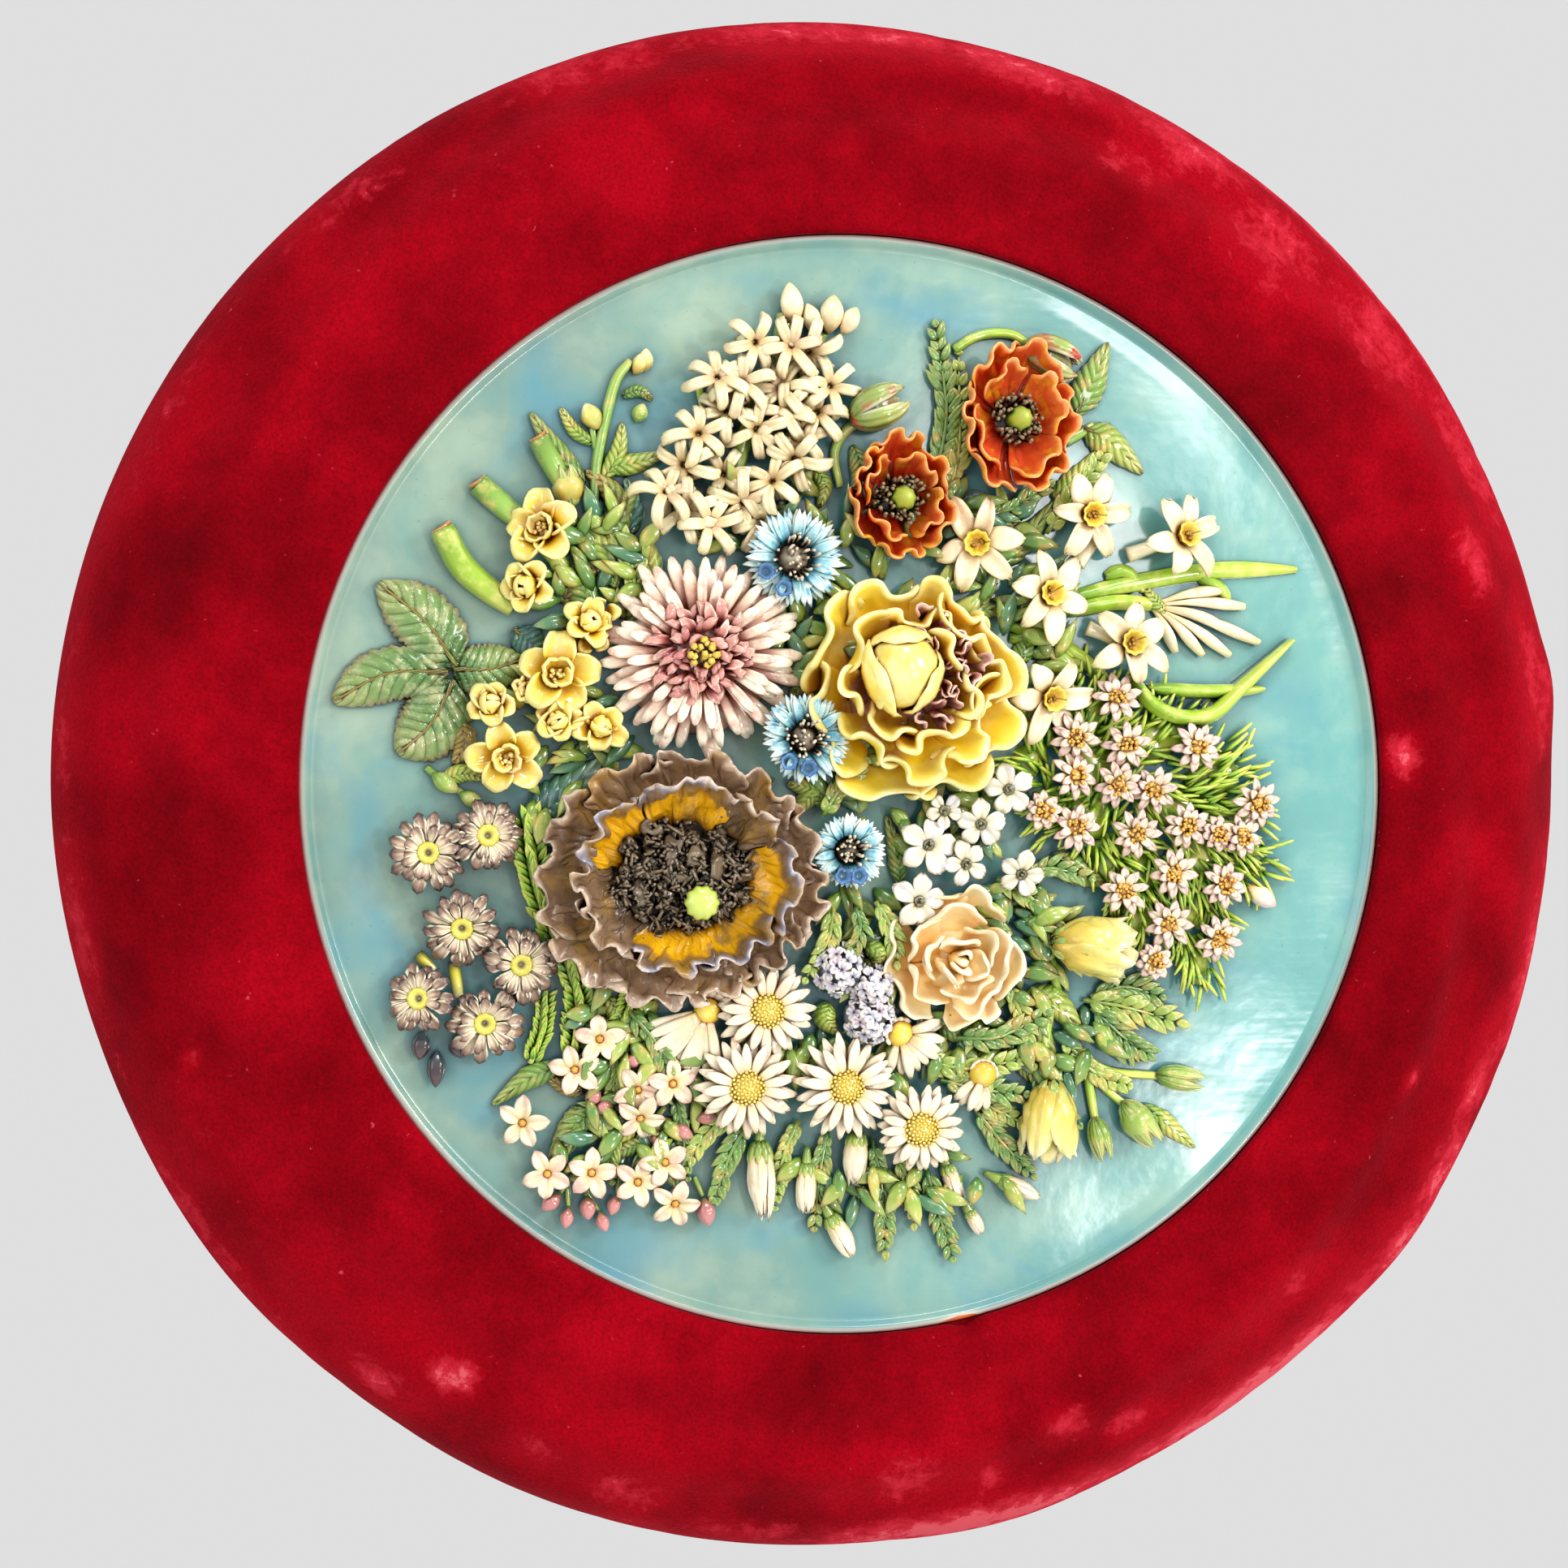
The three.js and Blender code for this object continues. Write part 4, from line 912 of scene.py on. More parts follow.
def daisies():
    milk = fired_glaze("milk_white_glaze", [(0.0, "#b58a50"), (0.2, "#e8cd94"), (0.55, "#f8edcf"), (1.0, "#f7e9cb")],
                       hollow="#8a6434", blush="#f2d6b4", lines=1, line_depth=0.45)
    amber = fired_glaze("amber_yellow_glaze", [(0.0, "#dcac24"), (0.6, "#f0d044"), (1.0, "#f8e478")],
                        hollow="#c89420")
    moss = fired_glaze("moss_green_glaze", [(0.0, "#5f7c2c"), (0.6, "#93ac48"), (1.0, "#c8cc6c")], hollow="#4c6420")
    ray = [0.55, 0.8, 1.0, 0.95, 0.55]
    forms = []
    for x, y, turn, across in DAISIES:
        reach = across / 2
        head = tier(19, reach - 3.5, 4.6, ray, [14, 2, -10, -24], 0, 4, cup=-0.5, rounding=0.32, crease=-0.3, start=4,
                    height=3.5, thickness=1.4, across=7, along=11)
        head += tier(15, reach - 5, 4.2, ray, [30, 12, -4, -20], 8, 6, cup=-0.5, rounding=0.32, crease=-0.3, start=3.5,
                     height=5, thickness=1.4, across=7, along=11)
        head += [dome(6.4, 3.6, 5, glaze=1), dome(9, 5, -1, glaze=0)]
        for i in range(70):
            reach, angle = 6.0 * (i / 70) ** 0.5, i * 2.4
            rise = 8.2 - 0.05 * reach**2
            grain = ovoid(2.2, 1.5, sides=6, glaze=1).lean(reach * 6, 0)
            head.append(grain.move(reach, 0, rise - 1).spin(np.degrees(angle)))
        forms += planted(head, x, y, turn, 4, 90 * turn, 8)
    for x, y, direction, length, rays, spread in SIDE_DAISIES:
        for i in range(rays):
            way = direction + spread * (2 * i / (rays - 1) - 1)
            one = petal(length * (1 + jitter(0.08)), 4.4, ray, [26, 2, -18, -34], cup=-0.5, rounding=0.3, start=3,
                        crease=-0.3, height=jitter(1.5), thickness=1.4, across=7, along=11).spin(way + jitter(4))
            forms.append(one.move(x, y, GROUND + 8))
        for i in range(7):
            one = petal(length * 0.4, 4, ray, [50, 60, 40], cup=-0.5, start=3, thickness=1.4, across=7, along=9)
            forms.append(one.spin(direction + 110 + i * 23).move(x, y, GROUND + 6))
        forms += planted([dome(5.4, 4, 0, glaze=1), dome(4, 6, -6, glaze=2)], x, y, lean=24, toward=direction, lift=8)
    for x, y, direction, length, width in CLOSED_DAISIES:
        bud = [ovoid(length * 0.86, width * 0.6, 9, 0.06, 0.8)]
        for i in range(14):
            slopes = [64, 80, 92 + jitter(5), 104 + jitter(9), 112 + jitter(16)]
            bud.append(petal(length * (1.06 + jitter(0.07)), width * 0.3, ray, slopes, cup=0.9, rounding=0.35,
                             start=width * (0.1 + 0.05 * (i % 2)), thickness=1.4, crease=0.2, across=7,
                             along=12).spin(i * 25.7 + jitter(5)))
        for i in range(9):
            bud.append(petal(length * 0.34, width * 0.26, LEAF, [50, 74, 90], cup=0.8, start=width * 0.14, height=-1,
                             thickness=1.3, across=7, along=7, glaze=2).spin(i * 40))
        bud.append(rod([(0, 0, -7), (0, 0, 2)], [1.2, 2.6], glaze=2))
        forms += lying(bud, x, y, direction, width * 0.36)
    return fire("white_daisies", forms, [milk, amber, moss])


STARS = [  # x, y, turn, lean, towards
    (-99, -94, 90, 6, 90), (-108, -105, 30, 8, 180), (-85, -113, 60, 4, 0), (-72, -111, 20, 6, 0),
    (-84, -123, 0, 30, 270), (-127, -124, 80, 14, 200), (-118, -143, 50, 8, 200), (-102, -143, 10, 4, 0),
    (-85, -147, 70, 4, 0), (-75, -140, 30, 10, 20), (-71, -155, 0, 24, 270),
]
STAR_BUDS = [  # x, y, direction, length, width
    (-94, -97, 80, 9, 6), (-90, -104, 20, 8, 6), (-99, -112, 240, 8, 6), (-93, -118, 200, 9, 6), (-72, -127, 330, 9, 6),
    (-63, -125, 10, 8, 5), (-113, -151, 220, 9, 6), (-110, -156, 260, 8, 5), (-103, -152, 270, 9, 6),
    (-99, -158, 290, 8, 5), (-60, -154, 280, 11, 7), (-78, -128, 280, 8, 5), (-92, -152, 250, 8, 5),
]


def star_flowers():
    stem = fired_glaze("pale_stem_glaze", [(0.0, "#7c9c40"), (1.0, "#b0c060")], hollow="#4c6c24")
    blossom = fired_glaze("apple_blossom_glaze", [(0.0, "#c8963c"), (0.22, "#efd9a0"), (0.6, "#f9edc8"),
                                                  (1.0, "#eecab0")],
                          hollow="#a86c4c", blush="#f0c0b0", lines=1, line_depth=0.4)
    tangerine = fired_glaze("tangerine_glaze", [(0.0, "#c8781c"), (1.0, "#ecb03c")], hollow="#8c4c10")
    rosy = fired_glaze("rosy_bud_glaze", [(0.0, "#8f6a3c"), (0.4, "#c87c78"), (1.0, "#dc9c94")], hollow="#6c2c2c")
    forms = []
    for x, y, turn, lean, toward in STARS:
        head = tier(5, 9.4, 6.2, [0.4, 0.85, 1.0, 0.8, 0.3], [24, 12, -6, -24], 0, 8, cup=0.6, crease=-0.5, rounding=0.2,
                    start=0.8, thickness=1.6, across=9, along=11)
        head += [dome(1.5, 1.4, 0.6, 5, 0.1, 12, glaze=1), rod([(0, 0, -7), (0, 0, 0)], [2.0, 2.0])]
        forms += planted(head, x, y, turn, lean, toward, 7)
    for x, y, direction, length, width in STAR_BUDS:
        forms += lying([ovoid(length, width, 5, 0.08, twist=1.2, glaze=2)], x, y, direction, 4.5)
        c, s = cos(radians(direction)), sin(radians(direction))
        forms.append(stalk([(x - 8 * c + 2 * s, y - 8 * s - 2 * c), (x, y)], 2.2, 4, glaze=3))
    return fire("star_flowers", forms, [blossom, tangerine, rosy, stem])


HEATH_STARS = [  # x, y, across
    (98, 33, 18), (82, 18, 18), (102, 15, 18), (130, 14, 19), (81, 3, 18), (99, 0, 17), (113, -2, 17), (154, -7, 18),
    (82, -17, 17), (106, -19, 18), (126, -16, 17), (69, -10, 13), (148, -20, 15), (138, -19, 12), (121, -34, 18),
    (101, -41, 18), (141, -39, 17), (119, -54, 18), (139, -60, 17), (113, -68, 12),
]
HEATH_SPRAYS = [  # middle, reach along and across, direction of the needles, count
    (88, 26, 16, 10, 60, 40), (66, 9, 8, 12, 140, 26), (116, 18, 18, 12, 30, 50), (92, 6, 18, 16, 70, 60),
    (140, 2, 14, 12, 20, 44), (122, -8, 18, 10, 330, 50), (146, -13, 14, 10, 350, 36), (136, -27, 16, 12, 310, 50),
    (152, -30, 10, 8, 320, 22), (100, -30, 14, 12, 300, 40), (130, -44, 16, 12, 290, 50), (110, -50, 12, 12, 270, 34),
    (132, -68, 12, 8, 280, 26), (75, -8, 10, 10, 200, 24), (90, -12, 12, 12, 240, 30), (112, -36, 14, 12, 280, 36),
]


def heath():
    shell = fired_glaze("shell_pink_glaze", [(0.0, "#e8bc60"), (0.3, "#fae8b8"), (0.65, "#f8e4cc"), (1.0, "#e8b6ac")],
                        hollow="#b08050", blush="#f0ccc4", lines=1, line_depth=0.4)
    tangerine = fired_glaze("bright_orange_glaze", [(0.0, "#c87818"), (1.0, "#efb848")], hollow="#a05c18")
    needle = fired_glaze("needle_green_glaze", [(0.0, "#7cac28"), (0.5, "#bcd43c"), (1.0, "#f0ec70")], hollow="#589028",
                         blush="#84b83c", wander=0.6)
    forms = []
    for x, y, across in HEATH_STARS:
        reach = across * 0.45
        head = tier(9, reach * 0.98, 3.4, [0.55, 0.9, 1.0, 0.85, 0.35], [20, 8, -8, -22], 0, 8, cup=0.5, crease=-0.3,
                    rounding=0.25, start=2.2, height=1.2, thickness=1.3, across=7, along=10)
        head += tier(7, reach * 0.7, 3.2, [0.6, 1.0, 0.9, 0.4], [38, 20, -6], 20, 12, cup=0.6, start=2, height=2.2,
                     thickness=1.2, across=7, along=8)
        head += tuft(20, 2.7, 2, 5.6, 0.6, knob=1.2, glaze=1) + [dome(3.2, 2, 1.8, glaze=1)]
        head += [rod([(0, 0, -10), (0, 0, 1)], [2.2, 3.0])]
        forms += planted(head, x, y, chance.uniform(0, 45), chance.uniform(2, 18), chance.uniform(0, 360), 9)
    for x, y, long, wide, direction, count in HEATH_SPRAYS:
        c, s = cos(radians(direction)), sin(radians(direction))
        forms += planted([dome(9, 4.5, -1, 7, 0.1, glaze=2).stretch(long / 11, wide / 11, 1)], x, y, direction)
        for _ in range(count):
            a, b = chance.uniform(-1, 1), chance.uniform(-1, 1)
            foot = np.array([x + c * a * long - s * b * wide, y + s * a * long + c * b * wide,
                             GROUND + 5.5 - 3.5 * a * a - 2 * b * b])
            way = radians(direction + jitter(34) + 40 * b)
            reach = chance.uniform(8, 13)
            ahead = np.array([cos(way) * reach, sin(way) * reach, 0])
            forms.append(rod([foot, foot + ahead * 0.5 + [0, 0, 1.9], foot + ahead + [0, 0, 1.1 + jitter(1)]],
                             [0.8, 0.9, 0.5], 6, 5, glaze=2))
    forms += lying([ovoid(15, 8, 5, 0.06, glaze=0)], 152, -39, 325, 4)
    return fire("heath_spray", forms, [shell, tangerine, needle])


PHLOX = [(24, -23, 0, 22), (44, -15, 20, 19), (38, -30, 40, 17), (20, -44, 10, 21), (55, -2, 30, 20), (60, -34, 0, 17),
         (30, -10, 50, 13)]
LILACS = [(-10, -69, 10), (3, -76, 8.5), (2, -88, 10)]


def phlox_and_lilac():
    chalk = fired_glaze("chalk_white_glaze", [(0.0, "#a89468"), (0.25, "#e4d8b4"), (0.6, "#f6edd4"), (1.0, "#ecdfc6")],
                        hollow="#8c8468", blush="#d4d6dc", lines=1, line_depth=0.35)
    dusk = fired_glaze("dusky_eye_glaze", [(0.0, "#4c4634"), (1.0, "#8a8660")], hollow="#242014")
    lavender = fired_glaze("lavender_glaze", [(0.0, "#9490a4"), (0.35, "#c8c6d4"), (0.7, "#e8e6e6"), (1.0, "#f8f0e0")],
                           hollow="#84808c", blush="#d8bcc4")
    forms = []
    for x, y, turn, across in PHLOX:
        reach = across / 2
        head = tier(5, reach, reach * 0.74, [0.34, 0.7, 1, 0.95, 0.6], [24, 8, -10, -34], 0, 7, cup=0.5, crease=-0.6,
                    rounding=0.3, start=1.0, thickness=1.7, ruffle=0.5, across=11, along=11)
        head += [turned([(0, 0.2), (1.9, 0.6), (2.0, 1.8), (1.0, 1.2), (0, 0.6)], 14, 5, 0.1, glaze=1)]
        head += [rod([(0, 0, -13), (0, 0, -0.5)], [3.4, 2.4])] + tuft(3, 1.0, 1, 3, 0.45, glaze=1)
        forms += planted(head, x, y, turn, chance.uniform(3, 14), chance.uniform(0, 360), 12 + jitter(1))
    for x, y, reach in LILACS:
        forms += planted([dome(reach - 1, 13, 0, glaze=2)], x, y, lift=1)
        for i in range(17):
            out, angle = (i / 17) ** 0.5, i * 137.5
            floret = tier(4, 3.5, 3.0, [0.6, 1.0, 1.0, 0.6], [26, 8, -16], 0, 10, cup=0.7, crease=-0.5, start=0.3,
                          thickness=1.0, across=7, along=7, glaze=2)
            for form in floret:
                form.spin(chance.uniform(0, 90)).lean(66 * out, 0).move(reach * out * 0.95, 0, 15.5 - 8 * out**2)
            forms += planted(floret, x, y, angle, lift=1)
    return fire("phlox_and_lilac", forms, [chalk, dusk, lavender])


ROSE = (34, -66)
ROSE_PETALS = [  # direction, spread, foot, rim, waves, fold
    (60, 36, (9, 3), (26, 15), 1.3, 1.9), (118, 34, (9, 4), (25, 14), 1.2, 1.6), (172, 34, (9, 4), (26, 14), 1.4, 1.8),
    (228, 34, (9, 4), (26, 14), 1.3, 1.6), (284, 34, (9, 4), (26, 14), 1.4, 1.8), (340, 34, (9, 4), (26, 15), 1.2, 1.6),
    (88, 42, (7, 9), (20, 21), 1.2, 1.7), (160, 40, (7, 9), (19, 20), 1.4, 1.5), (232, 40, (7, 9), (19, 20), 1.2, 1.5),
    (304, 40, (7, 9), (20, 20), 1.4, 1.6), (16, 40, (7, 9), (20, 21), 1.2, 1.6),
    (40, 50, (4, 13), (14, 25), 1.1, 1.4), (160, 50, (4, 13), (13, 25), 1.2, 1.3), (280, 50, (4, 13), (14, 25), 1.1, 1.3),
    (100, 60, (2, 16), (8.5, 28), 0.9, 1.0), (220, 60, (2, 16), (8, 28), 0.9, 1.0), (340, 60, (2, 16), (8.5, 28), 0.9, 1.0),
    (80, 80, (1, 19), (4, 29), 0.7, 0.6), (260, 80, (1, 19), (4, 29), 0.7, 0.6),
]


def rose():
    peach = fired_glaze("peach_glaze", [(0.0, "#dcb058"), (0.3, "#f8da90"), (0.6, "#feeab0"), (0.88, "#fff4cc"),
                                        (1.0, "#fffadc")],
                        hollow="#f2cc84", blush="#f8d8a0", blush_mm=12, gloss=0.16)
    forms = [dome(17, 15, 0), dome(4, 12, 16)]
    for direction, spread, foot, rim, waves, fold in ROSE_PETALS:
        forms.append(frill(direction + jitter(12), spread, foot, rim, waves * 1.2, fold * 1.1, 0.4, 0.5, narrow=0.8,
                           thickness=2.1, across=41, along=15).knead(0.9, 12))
    return fire("peach_rose", planted(forms, *ROSE), [peach])


BUDS = [  # x, y of the foot, direction, length, width, glaze: 0 pale yellow, 1 green, 2 yellow
    (-86, 152, 60, 10, 6, 0), (-82, 153, 85, 9, 6, 0), (-85, 134, 70, 8, 6, 1), (-99, 131, 118, 11, 8, 2),
    (-109, 102, 100, 14, 12, 2), (-30, 40, 10, 12, 8, 2), (-8, 4, 20, 9, 6, 0),
    (-104, 94, 40, 9, 8, 1), (-160, 4, 325, 12, 7, 1), (-150, -3, 330, 10, 6, 1), (-97, 88, 20, 8, 7, 1),
    (116, -112, 350, 17, 9, 1), (102, -122, 308, 19, 13, 1), (91, -128, 285, 15, 9, 1), (-24, 110, 60, 9, 6, 1),
]
YELLOW_ROSEBUDS = [(74, -60, 352, 28, 22), (73, -114, 266, 27, 18)]
POPPY_BUDS = [(-5, 137, 24, 21, 14), (62, 167, 338, 21, 13)]


def buds():
    primrose = fired_glaze("primrose_glaze", [(0.0, "#b58a2c"), (0.4, "#ead77c"), (1.0, "#f6edc0")], hollow="#7c5c1c")
    leafy = fired_glaze("leaf_green_bud_glaze", [(0.0, "#6c9434"), (0.6, "#a4be54"), (1.0, "#dcdc90")],
                        hollow="#4c7028", blush="#d8cc7c", lines=4)
    golden = fired_glaze("golden_yellow_glaze", [(0.0, "#b08c2c"), (0.4, "#dcc454"), (0.8, "#eedc80"), (1.0, "#f8f0bc")],
                         hollow="#a87820", blush="#c8c86c", blush_mm=8, lines=3)
    forms = []
    for x, y, direction, length, width, glaze in BUDS:
        bud = [ovoid(length, width, 5, 0.07, twist=0.8, glaze=glaze)]
        for i in range(5 * (width >= 9)):
            bud.append(petal(length * 1.2, width * 0.62, LEAF, [42, 78, 98, 104 + jitter(14)], cup=0.9,
                             start=width * 0.1, thickness=1.3, across=9, along=12, glaze=1).spin(i * 72))
        forms += lying(bud, x, y, direction, width * 0.42)
    for x, y, direction, length, width in YELLOW_ROSEBUDS:
        bud = [ovoid(length - 3, width * 0.7, 3, 0.05, 0.9, glaze=0)]
        for i in range(4):
            bud.append(petal(length * 1.2, width * 0.74, BROAD, [40, 76, 98, 116], cup=1.3, rounding=0.3, ruffle=0.5,
                             start=width * 0.08, thickness=2.0, across=17, along=19, glaze=2).spin(i * 90 + 20).knead(0.5, 6))
        for i in range(5):
            bud.append(petal(length * 1.12, width * 0.84, BROAD, [28, 68, 88, 76 + jitter(20)], cup=1.1, rounding=0.34,
                             ruffle=1.1, start=width * 0.12, thickness=1.7, across=19, along=19,
                             glaze=2).spin(i * 72 + jitter(9)).knead(0.7, 7))
        for i in range(5):
            bud.append(petal(length * 0.5, width * 0.34, LEAF, [30, 66, 88, 60], cup=0.8, start=width * 0.12, height=-1.4,
                             thickness=1.4, across=7, along=10, glaze=1).spin(i * 72 + 36))
        forms += lying(bud, x, y, direction, width * 0.44)
    return fire("buds", forms, [primrose, leafy, golden])


def poppy_buds():
    striped = fired_glaze("striped_bud_glaze", [(0.0, "#6f8a34"), (0.6, "#a3b45c"), (1.0, "#d4cf94")],
                          hollow="#3c4a1c", blush="#c4443c", blush_mm=6, edge="#f0e6cc", lines=4, line_depth=0.5)
    forms = []
    for x, y, direction, length, width in POPPY_BUDS:
        bud = [ovoid(length, width * 0.94, 3, 0.05, 0.7)]
        for i in range(4):
            bud.append(petal(length * 1.36, width * 0.86, OVAL, [14, 66, 100, 140], cup=1.3, rounding=0.2,
                             start=0.6, thickness=1.5, across=13, along=17).spin(i * 90 + 45))
        forms += lying(bud, x, y, direction, width * 0.45)
    return fire("poppy_buds", forms, [striped])


LEAVES = [  # spine, width, rise, teeth, glaze: 0 olive, 1 lime, 2 dark blue green, partly painted shade, 3 brown edged, 4 rose leaf
    ([(-151, 43), (-162, 59), (-179, 73)], 21, 6, 9, 4), ([(-154, 41), (-176, 40), (-195, 30)], 18, 6, 9, 4),
    ([(-152, 38), (-160, 22), (-172, 11)], 22, 6, 9, 4), ([(-152, 42), (-140, 42), (-126, 46)], 17, 6, 8, 4),
    # Painted shade: the dark blue-green leaf at (-124, 52) is partly leaf, partly shade painted where the bouquet is in
    # shade.
    ([(-150, 24), (-148, 15), (-152, 7)], 9, 4, 4, 3), ([(-130, 57), (-124, 52), (-117, 48)], 13, 4, 0, 2),
    ([(-104, 111), (-114, 122), (-124, 137)], 9, 4, 8, 0), ([(-98, 117), (-86, 119), (-74, 123)], 8, 4, 0, 1),
    ([(-113, 67), (-104, 78), (-91, 86)], 9, 4, 6, 3), ([(-89, 90), (-86, 102), (-89, 114)], 8, 3, 0, 2),
    ([(-126, -13), (-112, -5), (-97, 10)], 18, 4, 7, 2), ([(83, 141), (90, 154), (97, 170)], 13, 4, 8, 0),
    ([(87, 137), (98, 131), (111, 120)], 13, 4, 7, 1),
    ([(33, 103), (48, 98), (64, 99)], 9, 4, 5, 0),
    ([(48, 80), (62, 92), (77, 109)], 10, 4, 6, 0), ([(75, 110), (84, 117), (94, 129)], 9, 4, 5, 1),
    # Painted shade: the dark blue-green leaf from (-126, -13) to (-97, 10) is partly leaf, partly shade painted where
    # the bouquet is in shade.
    ([(-46, -4), (-41, -2), (-33, 2)], 8, 4, 0, 2), ([(15, -38), (14, -28), (10, -12)], 7, 4, 5, 0),
    ([(-14, -8), (-20, -2), (-28, 0)], 9, 8, 5, 1), ([(-12, -2), (-20, -5), (-26, -12)], 8, 8, 5, 1),
    ([(-16, 40), (-22, 38), (-27, 33)], 7, 5, 4, 1), ([(-112, -104), (-124, -108), (-138, -118)], 9, 4, 6, 0),
    ([(-99, -120), (-108, -127), (-117, -139)], 12, 4, 7, 0), ([(-84, -125), (-90, -130), (-98, -131)], 7, 4, 4, 1),
    ([(-80, -132), (-88, -135), (-94, -138)], 7, 4, 4, 0), ([(-104, -114), (-111, -112), (-118, -108)], 6, 4, 4, 3),
    ([(22, -104), (40, -106), (58, -103)], 10, 4, 5, 1),
    ([(30, -92), (38, -94), (47, -92)], 9, 5, 0, 0), ([(60, -82), (68, -92), (76, -108)], 13, 5, 6, 0),
    ([(64, -80), (76, -84), (88, -98)], 12, 5, 6, 1), ([(60, -88), (60, -100), (66, -114)], 11, 4, 6, 0),
    ([(111, -124), (121, -132), (132, -141)], 8, 4, 6, 1),
    ([(75, -27), (84, -33), (96, -39)], 12, 5, 7, 0), ([(0, -60), (6, -64), (4, -70)], 8, 15, 0, 1),
    ([(-13, -82), (-14, -88), (-10, -94)], 9, 10, 0, 1), ([(-18, 118), (-14, 112), (-16, 104)], 6, 5, 0, 1),
    ([(-157, 0), (-149, 4), (-141, 2)], 7, 4, 4, 1), ([(120, 66), (116, 70), (112, 76)], 6, 4, 0, 1),
    ([(-3, 128), (0, 118), (-3, 108)], 8, 3, 0, 0), ([(34, 60), (44, 66), (56, 66)], 9, 5, 0, 0),
    ([(56, 22), (66, 26), (76, 24)], 9, 5, 4, 0), ([(58, 44), (64, 52), (66, 62)], 8, 4, 0, 0),
    ([(-100, 60), (-106, 74), (-114, 84)], 12, 5, 6, 0), ([(-92, 72), (-98, 88), (-110, 98)], 11, 5, 5, 1),
    ([(-92, 84), (-92, 98), (-84, 112)], 12, 5, 6, 0), ([(-88, 96), (-94, 108), (-104, 116)], 9, 5, 4, 3),
    ([(-84, 66), (-80, 80), (-82, 94)], 11, 5, 5, 1), ([(-98, 112), (-92, 122), (-90, 134)], 7, 4, 3, 1),
    ([(-101, 126), (-108, 131), (-113, 139)], 5, 3, 0, 1), ([(-90, 144), (-84, 146), (-79, 143)], 4, 3, 0, 0),
    ([(-84, -86), (-78, -94), (-80, -104)], 9, 5, 5, 0), ([(-96, -78), (-92, -86), (-94, -94)], 8, 4, 5, 1),
]


def leaves():
    greens = [
        fired_glaze("leaf_green_glaze", [(0.0, "#5a8434"), (0.5, "#82a648"), (1.0, "#b8bc68")], hollow="#386020",
                    blush="#c0a860", edge="#c8c078", wander=0.5, veins=8),
        fired_glaze("lime_leaf_glaze", [(0.0, "#7ca034"), (0.5, "#a8c04c"), (1.0, "#d8d47c")], hollow="#5c8028",
                    blush="#dcc868", edge="#dcd890", wander=0.5, veins=8),
        # Dark blue green: the leaves' own colour and painted shade for leaves that lie in shade.
        fired_glaze("blue_green_leaf_and_shade_glaze", [(0.0, "#2c5c4c"), (0.5, "#467c62"), (1.0, "#84a078")], hollow="#244834",
                    blush="#6c8c94", wander=0.5, veins=7),
        fired_glaze("autumn_leaf_glaze", [(0.0, "#7c6c2c"), (0.5, "#a48c40"), (1.0, "#ccac5c")], hollow="#5c4418",
                    blush="#8ca044", edge="#d0945c", wander=0.5, veins=7),
        fired_glaze("rose_leaf_glaze", [(0.0, "#4c7438"), (0.5, "#749850"), (1.0, "#a8b068")], hollow="#5c6c34",
                    blush="#bcc088", blush_mm=6, edge="#a89070", wander=0.7, veins=8),
    ]
    forms = []
    for spine, width, rise, teeth, glaze in LEAVES:
        if glaze == 4:
            forms.append(leaf(spine, width * 1.12, [0.2, 0.86, 1, 0.96, 0.72, 0.14], 4.4, 15, 8, 1.1, 1.1, across=25,
                              along=56, glaze=4))
        else:
            forms.append(leaf(spine, width, rise=rise * 0.8, teeth=teeth, veins=8, quilt=0.7, glaze=glaze))
        if width > 11:
            forms.append(rod([(x, y, GROUND + rise + 0.2 - 0.8 * i) for i, (x, y) in enumerate(spine)],
                             [0.9, 0.7, 0.4], 6, 14, glaze=3))
    return fire("leaves", forms, greens)


